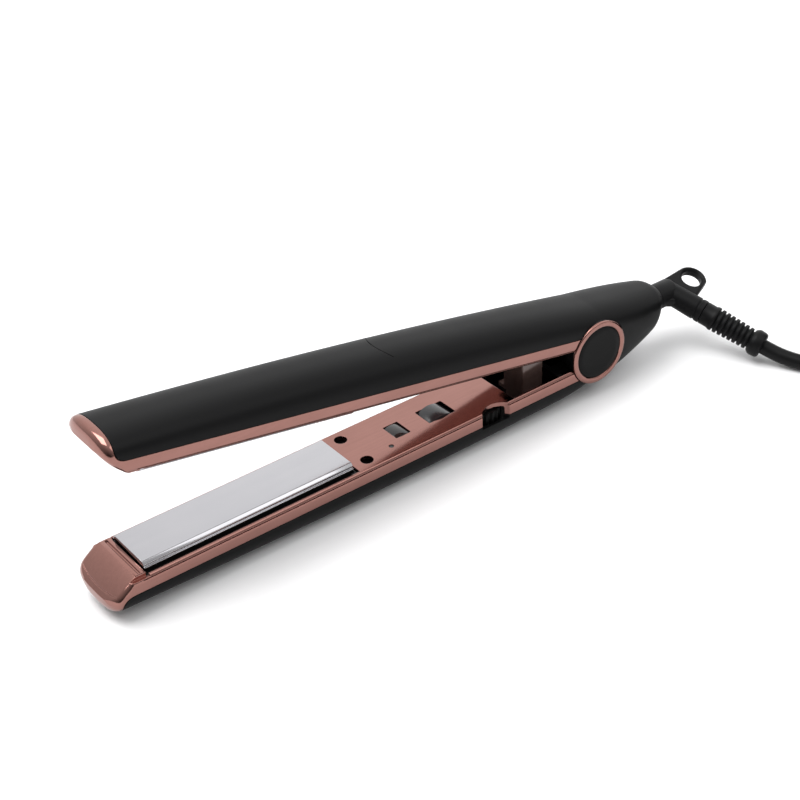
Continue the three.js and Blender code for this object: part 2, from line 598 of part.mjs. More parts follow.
function potentiometer() {
  const low = WHEEL_TOP + WHEEL_THICKNESS + GAP;
  const can = barZ(POT_RADIUS, low, low + POT_THICKNESS, WHEEL_X, WHEEL_Y);
  return join(can, barZ(WHEEL_HUB_RADIUS, WHEEL_TOP + 0.5, low + 1, WHEEL_X, WHEEL_Y, 16));
}

function screwSolid(y) {
  const points = [
    [0, LIP_HEIGHT + 0.1],
    [SCREW_HEAD_RADIUS - 0.1, LIP_HEIGHT + 0.1],
    [SCREW_RADIUS, LIP_HEIGHT + 1.2],
    [SCREW_RADIUS, LIP_HEIGHT + SCREW_LENGTH],
    [0, LIP_HEIGHT + SCREW_LENGTH],
  ].map(([r, h]) => new THREE.Vector2(r, h));
  const geometry = new THREE.LatheGeometry(points, 16);
  return solidOf(geometry.rotateX(Math.PI / 2).translate(SCREW_X, y, 0));
}

// ---- spring tower -------------------------------------------------------------------
const TOWER_MIDDLE = TOWER_FRONT_X + TOWER_LENGTH / 2;

function towerSolid() {
  const half = TOWER_WIDTH / 2;
  const x1 = TOWER_FRONT_X + TOWER_LENGTH;
  const block = box(TOWER_FRONT_X, x1, -half, half, -TOWER_TOP, TOWER_BASE);
  const wall = TOWER_WALL;
  const bore = box(TOWER_FRONT_X + wall, x1 - wall, -half + wall, half - wall, -20, TOWER_BASE - wall);
  const flange = box(TOWER_FRONT_X, x1, -half - 3, half + 3, TOWER_BASE - 2, TOWER_BASE);
  const floor = crownAt(x1) - SHELL_WALL - 2 * GAP;
  const foot = box(TOWER_FRONT_X, x1, -TOWER_FOOT_HALF_WIDTH, TOWER_FOOT_HALF_WIDTH, TOWER_BASE - 1, floor);
  return join(cut(block, bore), flange, foot);
}

// The pad in the upper shell that the spring pushes on. The tower stands off its middle
// when the jaw is open, so it reaches both ways.
const springBoss = () =>
  barZ(SPRING_PAD_RADIUS, SPRING_PAD_HEIGHT, CROWN_HEIGHT - 1.2, TOWER_MIDDLE - 1.5, 0, 24);

// The spring stands between the tower's base and the upper shell's seat, along Z.
function springSolid(low, high) {
  const points = [];
  const steps = SPRING_TURNS * 10;
  for (let i = 0; i <= steps; i += 1) {
    const angle = (i / 10) * 2 * Math.PI;
    const z = low + ((high - low) * i) / steps;
    const x = TOWER_MIDDLE + SPRING_RADIUS * Math.cos(angle);
    points.push(new THREE.Vector3(x, SPRING_RADIUS * Math.sin(angle), z));
  }
  const wire = new THREE.Shape();
  wire.absarc(0, 0, SPRING_WIRE / 2, 0, 2 * Math.PI);
  const path = new THREE.CatmullRomCurve3(points);
  const options = { steps, extrudePath: path, curveSegments: 3, bevelEnabled: false };
  return solidOf(new THREE.ExtrudeGeometry(wire, options));
}

// ---- gland and strain relief, in the gland's frame -----------------------------------
// Its X is the swivel axis, from the tail's end. Its -Y side carries the elbow.
const ELBOW_LEAN = THREE.MathUtils.degToRad(ELBOW_LEAN_DEG);
const GLAND_DROP = THREE.MathUtils.degToRad(GLAND_DROP_DEG);
const elbowDirection = new THREE.Vector3(Math.sin(ELBOW_LEAN), -Math.cos(ELBOW_LEAN), 0);
const elbowRoot = new THREE.Vector3(GLAND_BODY_X, 0, 0);

// A tapered round bar along the elbow, between two distances from the swivel axis.
function elbowBar(r0, r1, start, end, sides = 20) {
  const geometry = new THREE.CylinderGeometry(r1, r0, end - start, sides);
  geometry.translate(0, (start + end) / 2, 0);
  const turn = new THREE.Quaternion().setFromUnitVectors(new THREE.Vector3(0, 1, 0), elbowDirection);
  geometry.applyQuaternion(turn);
  return solidOf(geometry.translate(elbowRoot.x, elbowRoot.y, elbowRoot.z));
}

function axisBar(radius, x0, x1, sides = 24) {
  const geometry = new THREE.CylinderGeometry(radius, radius, x1 - x0, sides);
  return solidOf(geometry.rotateZ(-Math.PI / 2).translate((x0 + x1) / 2, 0, 0));
}

function glandSolid() {
  const flange = axisBar(NECK_RADIUS + 1.6, -SHELL_WALL - GAP - 2, -SHELL_WALL - GAP - 0.3);
  const neck = axisBar(NECK_RADIUS, -SHELL_WALL - 1, GLAND_BODY_X);
  const body = axisBar(GLAND_RADIUS, 1.8, GLAND_BODY_X + 2);
  const web = new THREE.Shape();
  web.absarc(GLAND_BODY_X + LOOP_CENTRE, 0, LOOP_RADIUS, -Math.PI / 2, Math.PI / 2);
  web.lineTo(4, GLAND_RADIUS - 1);
  web.lineTo(4, -GLAND_RADIUS + 1);
  const hole = new THREE.Path();
  hole.absarc(GLAND_BODY_X + LOOP_CENTRE, 0, LOOP_HOLE_RADIUS, 0, 2 * Math.PI, true);
  web.holes.push(hole);
  const options = { depth: WEB_THICKNESS, bevelEnabled: false, curveSegments: 16 };
  const plate = solidOf(new THREE.ExtrudeGeometry(web, options).translate(0, 0, -WEB_THICKNESS / 2));
  const elbow = elbowBar(ELBOW_RADIUS, ELBOW_RADIUS, 0, ELBOW_LENGTH);
  const keepHole = barZ(LOOP_HOLE_RADIUS, -20, 20, GLAND_BODY_X + LOOP_CENTRE, 0, 32);
  return cut(join(flange, neck, body, plate, elbow), keepHole);
}

const RELIEF_START = ELBOW_LENGTH + GAP;
const RELIEF_END = RELIEF_START + RELIEF_LENGTH;

function reliefSolid() {
  const stem = elbowBar(ELBOW_RADIUS, ELBOW_RADIUS - 0.5, RELIEF_START, RELIEF_END - 1);
  const collarStart = RELIEF_END - RELIEF_COLLAR_LENGTH;
  const collar = elbowBar(RELIEF_COLLAR_RADIUS, RELIEF_COLLAR_RADIUS - 0.4, collarStart, RELIEF_END);
  return join(stem, collar);
}

// ---- placing ------------------------------------------------------------------------
const straightener = new THREE.Group();

// Upper arm: the arm's own frame is turned open about the pivot.
const upperArm = new THREE.Group();
upperArm.position.set(PIVOT_X, 0, CONTACT_Z + PIVOT_RISE);
upperArm.rotation.y = OPEN_ANGLE;
const upperFrame = new THREE.Group();
upperFrame.position.set(-PIVOT_X, 0, -PIVOT_RISE);
upperArm.add(upperFrame);
straightener.add(upperArm);

// Lower arm: the same frame turned over about X.
const lowerArm = new THREE.Group();
lowerArm.position.set(0, 0, CONTACT_Z);
lowerArm.rotation.x = Math.PI;
straightener.add(lowerArm);

// Gland: level, on the swivel axis at the tail's end.
const GLAND_HEIGHT = CONTACT_Z + 2.5;
const glandFrame = new THREE.Group();
glandFrame.position.set(TAIL_X, 0, GLAND_HEIGHT);
glandFrame.rotation.x = GLAND_DROP;
straightener.add(glandFrame);
straightener.updateMatrixWorld(true);

// The hole in the tail's end wall, cut along the swivel axis, in the upper arm's frame.
function glandWay() {
  const bore = new THREE.CylinderGeometry(NECK_RADIUS + GAP, NECK_RADIUS + GAP, 14, 24).rotateZ(Math.PI / 2);
  const room = new THREE.CylinderGeometry(NECK_RADIUS + 2.4, NECK_RADIUS + 2.4, 6, 24).rotateZ(Math.PI / 2);
  room.translate(-SHELL_WALL - 3, 0, 0);
  const front = new THREE.BoxGeometry(8, 40, 40).translate(4.6, 0, 0);
  const toUpper = upperFrame.matrixWorld.clone().invert().multiply(glandFrame.matrixWorld);
  return join(...[bore, room, front].map((geometry) => solidOf(geometry.applyMatrix4(toUpper))));
}

function place(parent, name, solid, material) {
  const mesh = new THREE.Mesh(geometryOf(solid), material);
  mesh.name = name;
  parent.add(mesh);
  return mesh;
}

place(upperFrame, 'upper_shell', upperShell(), softBlack);
place(upperFrame, 'upper_liner', upperLiner(), roseGold);
place(lowerArm, 'lower_shell', lowerShell(), softBlack);
place(lowerArm, 'lower_liner', lowerLiner(), roseGold);

const arms = [
  ['upper', upperFrame],
  ['lower', lowerArm],
];
for (const [arm, frame] of arms) {
  place(frame, `${arm}_plate`, plateSolid(), mirror);
  place(frame, `${arm}_heater`, heaterSolid(), ceramic);
  place(frame, `${arm}_plate_carrier`, carrierSolid(), darkRubber);
  place(frame, `${arm}_plate_cushion`, cushionSolid(), darkRubber);
  screws.forEach((y, i) => place(frame, `${arm}_liner_screw_${i + 1}`, screwSolid(y), steel));
}

const sides = [
  ['near', -1],
  ['far', 1],
];
for (const [side, sign] of sides) {
  place(upperFrame, `pivot_ring_${side}`, ringOn(sign), roseGold);
  place(upperFrame, `pivot_cap_${side}`, capOn(sign), gloss);
  place(lowerArm, `hinge_bush_${side}`, bushOn(-sign), brass);
}
place(upperFrame, 'hinge_pin', barY(PIN_RADIUS, -CHEEK_OUTER, CHEEK_OUTER, PIVOT_X, PIVOT_RISE, 24), steel);

place(lowerArm, 'spring_tower', towerSolid(), roseGold);
place(lowerArm, 'indicator_lens', indicatorLens(), lens);
place(lowerArm, 'indicator_led', ledSolid(), lens);
place(lowerArm, 'power_rocker', rockerSolid(), gloss);
place(lowerArm, 'rocker_housing', rockerHousing(), darkRubber);
place(lowerArm, 'circuit_board', boardSolid(), board);
place(lowerArm, 'thumbwheel', wheelSolid(), darkRubber);
place(lowerArm, 'potentiometer', potentiometer(), steel);

const springLow = CONTACT_Z - TOWER_BASE + TOWER_WALL + SPRING_WIRE / 2 + 2 * GAP;
const padRise = SPRING_PAD_HEIGHT - PIVOT_RISE + (PIVOT_X - TOWER_MIDDLE) * Math.sin(OPEN_ANGLE);
const padTilt = (SPRING_RADIUS + SPRING_WIRE) * Math.tan(OPEN_ANGLE);
const springHigh = CONTACT_Z + PIVOT_RISE + padRise / Math.cos(OPEN_ANGLE) - padTilt - SPRING_WIRE / 2 - GAP;
place(straightener, 'jaw_spring', springSolid(springLow, springHigh), steel);

place(glandFrame, 'swivel_gland', glandSolid(), darkRubber);
place(glandFrame, 'strain_relief', reliefSolid(), darkRubber);

// ---- cord ---------------------------------------------------------------------------
// The route leaves the relief along its axis, settles on the surface and meets the coil.
// The plug's lead lies on the coil's front fold and ends level in the plug.
const REST = CORD_RADIUS + 0.1; // height of the cord's middle where it lies flat
const PLUG_SEAT = 30; // height that the plug lies at, on the coil's tie
const LEAD_HEIGHT = 31.2; // where the plug's lead lies on the coil
const PLUG_Y = COIL_Y - COIL_RADIUS;
const PLUG_X = COIL_X + 7;
const cordRoute = [
  [177.3, -43.5, 7.2],
  [180.0, -49.8, 5.2],
  [183.2, -56.2, 4.0],
  [187.2, -62.8, REST],
  [191.8, -68.9, REST],
  [197.0, -74.6, REST],
  [202.6, -80.0, REST],
  [208.4, -85.0, REST],
  [214.4, -89.6, REST],
];
const plugRoute = [
  [COIL_X + 8, COIL_Y + 27.2, LEAD_HEIGHT],
  [COIL_X, COIL_Y + 27.2, LEAD_HEIGHT],
  [COIL_X - 13.6, COIL_Y + 23.6, 31.4],
  [COIL_X - 23.5, COIL_Y + 13.6, 32.0],
  [COIL_X - 27.0, COIL_Y, 33.3],
  [COIL_X - 22.7, COIL_Y - 13.1, 35.1],
  [COIL_X - 12.5, COIL_Y - 21.7, 37.2],
  [COIL_X, PLUG_Y, 38.8],
  [PLUG_X, PLUG_Y, PLUG_SEAT + PLUG_HEIGHT / 2],
];

function cordSolid(route, steps) {
  const section = new THREE.Shape();
  section.absarc(0, 0, CORD_RADIUS, 0, 2 * Math.PI);
  const path = new THREE.CatmullRomCurve3(route.map((p) => new THREE.Vector3(...p)));
  const options = { steps, extrudePath: path, curveSegments: 5, bevelEnabled: false };
  return solidOf(new THREE.ExtrudeGeometry(section, options));
}

// An upright body with two round ends, the form of a turn of the coil.
function stadium(radius, z0, z1) {
  const rear = COIL_X + COIL_RUN;
  const middle = box(COIL_X, rear, COIL_Y - radius, COIL_Y + radius, z0, z1);
  return join(middle, barZ(radius, z0, z1, COIL_X, COIL_Y, 48), barZ(radius, z0, z1, rear, COIL_Y, 48));
}

const coilHeight = COIL_LAYERS * CORD_DIAMETER;
const coilSpace = stadium(COIL_OUTER + GAP, -1, coilHeight + GAP);
const TIE_THICKNESS = 1;
const TIE_X = COIL_X + COIL_RUN / 2;
const TIE_Y = COIL_Y - COIL_RADIUS;

function coilSolid() {
  const inner = COIL_RADIUS - COIL_HALF_SECTION;
  const corner = CORD_RADIUS;
  const half = corner / 2;
  const full = stadium(COIL_OUTER, corner, coilHeight - corner);
  const slim = stadium(COIL_OUTER - half, 0, coilHeight);
  const eye = stadium(inner, -1, coilHeight + 1);
  const eyeLow = stadium(inner + half, -1, corner);
  const eyeHigh = stadium(inner + half, coilHeight - corner, coilHeight + 1);
  const across = TIE_WIDTH / 2 + GAP;
  const under = box(TIE_X - across, TIE_X + across, COIL_Y - COIL_OUTER - 1, COIL_Y, -1, TIE_THICKNESS + GAP);
  return cut(join(full, slim), eye, eyeLow, eyeHigh, under);
}

// A strap round the coil's section, at its near run.
function tieSolid() {
  const half = TIE_WIDTH / 2;
  const reach = COIL_HALF_SECTION + GAP + 0.6;
  const y = TIE_Y;
  const x0 = TIE_X - half;
  const outer = reach + TIE_THICKNESS;
  const top = TIE_THICKNESS + coilHeight + 2 * GAP;
  const block = box(x0, x0 + TIE_WIDTH, y - outer, y + outer, 0, top + TIE_THICKNESS);
  return cut(block, box(x0 - 1, x0 + TIE_WIDTH + 1, y - reach, y + reach, TIE_THICKNESS, top));
}

place(straightener, 'cord', cut(cordSolid(cordRoute, 20), coilSpace), darkRubber);
place(straightener, 'cord_coil', coilSolid(), darkRubber);
place(straightener, 'coil_tie', tieSolid(), darkRubber);
place(straightener, 'plug_lead', cordSolid(plugRoute, 40), darkRubber);

// Plug: a flat-sided body lying on its side, with a tapered tail and two round pins. In its
// own frame it points along +Y, and the frame turns it to point along +X.
const PLUG_TAIL = 12;
const plugFrontY = GAP;
const plugX = 0;
const plugFrame = new THREE.Group();
plugFrame.position.set(PLUG_X, PLUG_Y, PLUG_SEAT);
plugFrame.rotation.z = -Math.PI / 2;
straightener.add(plugFrame);

function plugBody() {
  const shape = new THREE.Shape();
  const half = PLUG_WIDTH / 2;
  const y1 = plugFrontY + PLUG_TAIL;
  const y2 = y1 + PLUG_LENGTH;
  shape.moveTo(plugX - 5, plugFrontY);
  shape.lineTo(plugX + 5, plugFrontY);
  shape.lineTo(plugX + 6, y1);
  shape.quadraticCurveTo(plugX + half, y1 + 2, plugX + half, y1 + 14);
  shape.lineTo(plugX + half, y2);
  shape.lineTo(plugX - half, y2);
  shape.lineTo(plugX - half, y1 + 14);
  shape.quadraticCurveTo(plugX - half, y1 + 2, plugX - 6, y1);
  const options = { depth: PLUG_HEIGHT, bevelEnabled: false, curveSegments: 6 };
  const body = solidOf(new THREE.ExtrudeGeometry(shape, options));
  const start = plugFrontY - 1;
  const end = y1 + 12;
  const room = 2 * PLUG_HEIGHT;
  const middle = PLUG_HEIGHT / 2;
  const upper = [
    [start, middle + 5],
    [y1, middle + 5.5],
    [end, PLUG_HEIGHT + 0.1],
    [end, room],
    [start, room],
  ];
  const lower = upper.map(([y, z]) => [y, PLUG_HEIGHT - z]);
  const above = slabX(upper);
  const below = slabX(lower);
  return cut(body, above, below);
}

// A profile of [y, z] points, made solid across the plug's width.
function slabX(points) {
  const shape = new THREE.Shape(points.map(([y, z]) => new THREE.Vector2(y, z)));
  const geometry = new THREE.ExtrudeGeometry(shape, { depth: 2 * PLUG_WIDTH, bevelEnabled: false });
  const toPlace = new THREE.Matrix4().makeBasis(
    new THREE.Vector3(0, 1, 0),
    new THREE.Vector3(0, 0, 1),
    new THREE.Vector3(1, 0, 0),
  );
  return solidOf(geometry.applyMatrix4(toPlace).translate(plugX - PLUG_WIDTH, 0, 0));
}

function plugPin(side) {
  const start = plugFrontY + PLUG_TAIL + PLUG_LENGTH + GAP;
  const x = plugX + (side * PLUG_PIN_SPACING) / 2;
  const bar = barY(PLUG_PIN_RADIUS, start, start + PLUG_PIN_LENGTH - 1.5, x, PLUG_HEIGHT / 2, 16);
  const tipStart = start + PLUG_PIN_LENGTH - 1.5;
  const tip = new THREE.CylinderGeometry(PLUG_PIN_RADIUS - 1, PLUG_PIN_RADIUS, 1.5, 16);
  return join(bar, solidOf(tip.translate(x, tipStart + 0.75, PLUG_HEIGHT / 2)));
}

place(plugFrame, 'plug_body', plugBody(), darkRubber);
place(plugFrame, 'plug_pin_left', plugPin(-1), steel);
place(plugFrame, 'plug_pin_right', plugPin(1), steel);

export default straightener;
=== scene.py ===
"""Hair straightener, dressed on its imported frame.

Sizes are in millimetres and in the arm's own frame: x runs from the tips to the cord, z is
the distance from the plane where the plates meet, and both arms share one form. A finished
piece is put in place, in metres, by the matrix of its arm.
"""

import json
import logging
import math
from dataclasses import dataclass
from enum import Enum
from typing import Callable, ClassVar, Iterable, Mapping, Sequence

import bpy
from mathutils import Matrix, Vector

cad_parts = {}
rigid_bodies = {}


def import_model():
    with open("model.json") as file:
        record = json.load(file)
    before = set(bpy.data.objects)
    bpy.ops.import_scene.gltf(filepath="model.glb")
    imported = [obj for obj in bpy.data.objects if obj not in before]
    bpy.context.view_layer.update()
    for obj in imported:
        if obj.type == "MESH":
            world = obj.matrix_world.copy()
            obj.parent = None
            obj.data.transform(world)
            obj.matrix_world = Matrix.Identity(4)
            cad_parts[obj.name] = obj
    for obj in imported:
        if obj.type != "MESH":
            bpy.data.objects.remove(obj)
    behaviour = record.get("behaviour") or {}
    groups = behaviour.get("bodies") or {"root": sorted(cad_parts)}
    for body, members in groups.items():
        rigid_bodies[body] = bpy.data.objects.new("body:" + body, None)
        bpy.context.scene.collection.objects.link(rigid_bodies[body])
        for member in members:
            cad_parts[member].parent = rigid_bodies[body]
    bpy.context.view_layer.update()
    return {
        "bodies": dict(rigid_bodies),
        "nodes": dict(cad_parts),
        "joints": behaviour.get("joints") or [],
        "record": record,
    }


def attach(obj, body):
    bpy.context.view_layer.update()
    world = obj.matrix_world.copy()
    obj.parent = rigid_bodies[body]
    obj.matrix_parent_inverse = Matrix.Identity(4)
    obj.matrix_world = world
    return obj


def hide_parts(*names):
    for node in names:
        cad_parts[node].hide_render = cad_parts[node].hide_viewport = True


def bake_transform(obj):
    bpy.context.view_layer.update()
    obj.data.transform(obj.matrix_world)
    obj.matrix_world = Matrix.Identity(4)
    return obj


LOG = logging.getLogger("straightener")
Piece = bpy.types.Object
Point = tuple[float, float, float]
Flat = tuple[float, float]
Colour = tuple[float, float, float]

MM = 0.001
GAP = 0.3


# ---- finishes -----------------------------------------------------------------------
class Texture(Enum):
    """The surface pattern of a finish."""

    GRAIN = "fine moulded grain"
    STREAKS = "long faint polishing streaks"
    TURNED = "fine lines round an axis"
    TRACKS = "circuit tracks"


def added(nodes: bpy.types.Nodes, kind: str, values: Mapping[str | int, object]) -> bpy.types.Node:
    """Add a shader node and set its inputs.

    Args:
        nodes: The nodes that it joins.
        kind: Its type, without the part that all types share.
        values: Its inputs' values, by name or number.

    Returns:
        The node.
    """
    node = nodes.new(f"ShaderNode{kind}")
    for slot, value in values.items():
        node.inputs[slot].default_value = value
    return node


@dataclass(frozen=True)
class Finish:
    """A finish and the numbers that its shader is made from.

    Attributes:
        name: Name of the material.
        colour: Colour of most of the surface.
        shade: Colour of its darker patches.
        rough: Lowest and highest roughness.
        metal: How metallic it is.
        specular: Specular level.
        coat: Weight of the clear coat.
        cells: Pattern cells for each metre.
        relief: Height of the pattern, in metres.
        edge: Radius that its edges catch the light with, in metres.
        texture: Which pattern it has.
    """

    name: str
    colour: Colour
    shade: Colour
    rough: tuple[float, float]
    metal: float = 0.0
    specular: float = 0.5
    coat: float = 0.0
    cells: float = 2600.0
    relief: float = 0.00001
    edge: float = 0.00025
    texture: Texture = Texture.GRAIN
    coat_rough: ClassVar[float] = 0.06
    broad_cells: ClassVar[float] = 55.0
    contrast: ClassVar[Flat] = (0.3, 0.7)

    def material(self) -> bpy.types.Material:
        """Build the material, or return the one that is already built.

        Returns:
            The material.
        """
        known = bpy.data.materials.get(self.name)
        if known:
            return known
        made = bpy.data.materials.new(self.name)
        made.use_nodes = True
        nodes = made.node_tree.nodes
        links = made.node_tree.links
        shader = nodes["Principled BSDF"]
        shader.inputs["Metallic"].default_value = self.metal
        shader.inputs["Specular IOR Level"].default_value = self.specular
        shader.inputs["Coat Weight"].default_value = self.coat
        shader.inputs["Coat Roughness"].default_value = self.coat_rough
        fine = self._pattern(nodes, links, self.cells)
        broad = self._noise(nodes, links, self.broad_cells, (1.0, 1.0, 1.0))
        half = added(nodes, "Math", {1: 0.5})
        half.operation = "MULTIPLY"
        links.new(broad, half.inputs[0])
        tone = added(nodes, "Math", {1: 0.5})
        tone.operation = "MULTIPLY_ADD"
        links.new(fine, tone.inputs[0])
        links.new(half.outputs[0], tone.inputs[2])
        low, high = self.contrast
        ramp = added(nodes, "ValToRGB", {})
        for element, place, colour in zip(ramp.color_ramp.elements, (low, high), (self.shade, self.colour)):
            element.position = place
            element.color = (*colour, 1.0)
        links.new(tone.outputs[0], ramp.inputs["Fac"])
        links.new(ramp.outputs["Color"], shader.inputs["Base Color"])
        limits = {"From Min": low, "From Max": high, "To Min": self.rough[0], "To Max": self.rough[1]}
        spread = added(nodes, "MapRange", limits)
        links.new(tone.outputs[0], spread.inputs["Value"])
        links.new(spread.outputs["Result"], shader.inputs["Roughness"])
        soft = added(nodes, "Bevel", {"Radius": self.edge})
        soft.samples = 6
        bump = added(nodes, "Bump", {"Strength": 0.6, "Distance": self.relief})
        links.new(fine, bump.inputs["Height"])
        links.new(soft.outputs["Normal"], bump.inputs["Normal"])
        links.new(bump.outputs["Normal"], shader.inputs["Normal"])
        return made

    def _pattern(
        self, nodes: bpy.types.Nodes, links: bpy.types.NodeLinks, cells: float
    ) -> bpy.types.NodeSocket:
        """Build the fine pattern.

        Args:
            nodes: The material's nodes.
            links: The material's links.
            cells: Pattern cells for each metre.

        Returns:
            The socket that gives the pattern.
        """
        if self.texture is Texture.STREAKS:
            return self._noise(nodes, links, cells, (0.04, 1.0, 1.0))
        if self.texture is Texture.TURNED:
            return self._noise(nodes, links, cells, (1.0, 1.0, 0.05))
        if self.texture is Texture.TRACKS:
            coords = added(nodes, "TexCoord", {})
            brick = added(nodes, "TexBrick", {"Scale": cells})
            links.new(coords.outputs["Object"], brick.inputs["Vector"])
            return brick.outputs["Fac"]
        return self._noise(nodes, links, cells, (1.0, 1.0, 1.0))

    def _noise(
        self, nodes: bpy.types.Nodes, links: bpy.types.NodeLinks, cells: float, stretch: Point
    ) -> bpy.types.NodeSocket:
        """Build one noise on the object's own coordinates.

        Args:
            nodes: The material's nodes.
            links: The material's links.
            cells: Cells for each metre.
            stretch: How much the pattern is squeezed along each axis.

        Returns:
            The socket that gives the noise.
        """
        coords = added(nodes, "TexCoord", {})
        place = added(nodes, "Mapping", {"Scale": stretch})
        noise = added(nodes, "TexNoise", {"Scale": cells, "Detail": 3.0})
        links.new(coords.outputs["Object"], place.inputs["Vector"])
        links.new(place.outputs["Vector"], noise.inputs["Vector"])
        return noise.outputs["Fac"]


SOFT_TOUCH = Finish(
    "soft_touch_black", (0.0032, 0.0032, 0.0035), (0.0022, 0.0022, 0.0024), (0.4, 0.48),
    specular=0.1, cells=3200.0, relief=0.000006, edge=0.0003,
)
ROSE = Finish(
    "rose_plating", (0.285, 0.145, 0.124), (0.25, 0.125, 0.106), (0.09, 0.15),
    metal=1.0, cells=900.0, relief=0.0000015, edge=0.0003, texture=Texture.STREAKS,
)
TOWER_BROWN = Finish(
    "tower_brown", (0.13, 0.085, 0.075), (0.1, 0.062, 0.054), (0.16, 0.24),
    metal=0.3, specular=0.6, coat=0.3, cells=900.0, relief=0.000002, edge=0.0005,
)
PLATE = Finish(
    "polished_plate", (0.4, 0.396, 0.412), (0.378, 0.376, 0.393), (0.09, 0.13),
    metal=1.0, cells=300.0, relief=0.0000001, edge=0.0001, texture=Texture.STREAKS,
)
GLOSS = Finish(
    "gloss_black", (0.004, 0.004, 0.0045), (0.003, 0.003, 0.0034), (0.1, 0.17),
    specular=0.12, coat=0.05, cells=500.0, relief=0.000002, edge=0.0003,
)
SATIN = Finish(
    "satin_black", (0.004, 0.0038, 0.0038), (0.003, 0.003, 0.003), (0.3, 0.38),
    specular=0.07, cells=1800.0, relief=0.000004, edge=0.0003,
)
MOULDED = Finish(
    "moulded_black", (0.005, 0.005, 0.0053), (0.0035, 0.0035, 0.0038), (0.36, 0.48),
    specular=0.12, edge=0.0003,
)
RUBBER = Finish(
    "cushion_black", (0.004, 0.004, 0.004), (0.003, 0.003, 0.003), (0.3, 0.45),
    specular=0.2, cells=2400.0, relief=0.000006, edge=0.0002,
)
CORD_SKIN = Finish(
    "cord_black", (0.006, 0.006, 0.0063), (0.0045, 0.0045, 0.0048), (0.34, 0.46),
    specular=0.12, cells=1500.0, edge=0.0001,
)
LENS = Finish(
    "indicator_lens", (0.02, 0.018, 0.018), (0.015, 0.012, 0.012), (0.05, 0.09),
    specular=0.3, coat=0.25, cells=700.0, relief=0.000001, edge=0.0003,
)
STEEL = Finish(
    "bright_steel", (0.5, 0.5, 0.51), (0.4, 0.4, 0.41), (0.22, 0.34),
    metal=1.0, cells=1800.0, relief=0.000003, edge=0.0002, texture=Texture.TURNED,
)
DARK_STEEL = Finish(
    "blackened_steel", (0.05, 0.05, 0.05), (0.03, 0.03, 0.03), (0.22, 0.34),
    metal=1.0, cells=1800.0, relief=0.000003, edge=0.0002, texture=Texture.TURNED,
)
BRASS = Finish(
    "turned_brass", (0.7, 0.52, 0.26), (0.6, 0.43, 0.2), (0.25, 0.36),
    metal=1.0, cells=1800.0, relief=0.000003, edge=0.0002, texture=Texture.TURNED,
)
CERAMIC = Finish(
    "heater_ceramic", (0.78, 0.76, 0.7), (0.68, 0.66, 0.6), (0.6, 0.8),
    specular=0.4, cells=2200.0, relief=0.00002, edge=0.0002,
)
BOARD = Finish(
    "circuit_board", (0.035, 0.16, 0.08), (0.02, 0.1, 0.05), (0.35, 0.5),
    coat=0.2, cells=260.0, relief=0.00003, edge=0.0002, texture=Texture.TRACKS,
)
PAPER = Finish(
    "studio_floor", (0.82, 0.82, 0.825), (0.81, 0.81, 0.815), (0.85, 0.95),
    specular=0.1, cells=300.0, relief=0.000005, edge=0.0002,
)


# ---- bench tools --------------------------------------------------------------------
class Cut(Enum):
    """How one solid changes another."""

    TAKE = "DIFFERENCE"
    ADD = "UNION"
    KEEP = "INTERSECT"


def pick(piece: Piece) -> None:
    """Select one piece alone and make it active.

    Args:
        piece: The piece.
    """
    bpy.ops.object.select_all(action="DESELECT")
    piece.select_set(True)
    bpy.context.view_layer.objects.active = piece


def raw(name: str, points: Sequence[Sequence[float]], faces: Sequence[Sequence[int]]) -> Piece:
    """Make a piece straight from its points.

    Args:
        name: Name of the piece.
        points: Its points.
        faces: Its faces, or its edges where each has two points.

    Returns:
        The piece.
    """
    mesh = bpy.data.meshes.new(name)
    edges = [face for face in faces if len(face) == 2]
    mesh.from_pydata([tuple(point) for point in points], edges, [face for face in faces if len(face) > 2])
    mesh.update()
    piece = bpy.data.objects.new(name, mesh)
    bpy.context.scene.collection.objects.link(piece)
    return piece


def outward(piece: Piece) -> Piece:
    """Merge a piece's doubles and turn its faces outwards.

    Args:
        piece: The piece.

    Returns:
        The same piece.
    """
    pick(piece)
    bpy.ops.object.mode_set(mode="EDIT")
    bpy.ops.mesh.select_all(action="SELECT")
    bpy.ops.mesh.remove_doubles(threshold=0.0005)
    bpy.ops.mesh.normals_make_consistent(inside=False)
    bpy.ops.object.mode_set(mode="OBJECT")
    return piece


def block(name: str, x: Flat, y: Flat, z: Flat) -> Piece:
    """Add a block between two values on each axis.

    Args:
        name: Name of the piece.
        x: Its two values along X.
        y: Its two values along Y.
        z: Its two values along Z.

    Returns:
        The block.
    """
    bpy.ops.object.select_all(action="DESELECT")
    middle = [(side[0] + side[1]) / 2 for side in (x, y, z)]
    bpy.ops.mesh.primitive_cube_add(size=1, location=middle)
    piece = bpy.context.object
    piece.name = name
    piece.scale = [side[1] - side[0] for side in (x, y, z)]
    bpy.ops.object.transform_apply(location=True, rotation=True, scale=True)
    return piece


def bar(name: str, radius: float, along: str, ends: Flat, at: Flat, sides: int = 64) -> Piece:
    """Add a round bar along one axis.

    Args:
        name: Name of the piece.
        radius: Radius of the bar.
        along: "X", "Y" or "Z".
        ends: Where it starts and ends.
        at: Its place on the two other axes, in their order.
        sides: How many sides its circle has.

    Returns:
        The bar.
    """
    bpy.ops.object.select_all(action="DESELECT")
    middle = (ends[0] + ends[1]) / 2
    turn = {"X": (0, math.pi / 2, 0), "Y": (math.pi / 2, 0, 0), "Z": (0, 0, 0)}[along]
    place = {"X": (middle, *at), "Y": (at[0], middle, at[1]), "Z": (*at, middle)}[along]
    bpy.ops.mesh.primitive_cylinder_add(
        vertices=sides, radius=radius, depth=ends[1] - ends[0], location=place, rotation=turn
    )
    piece = bpy.context.object
    piece.name = name
    bpy.ops.object.transform_apply(location=True, rotation=True, scale=True)
    return piece


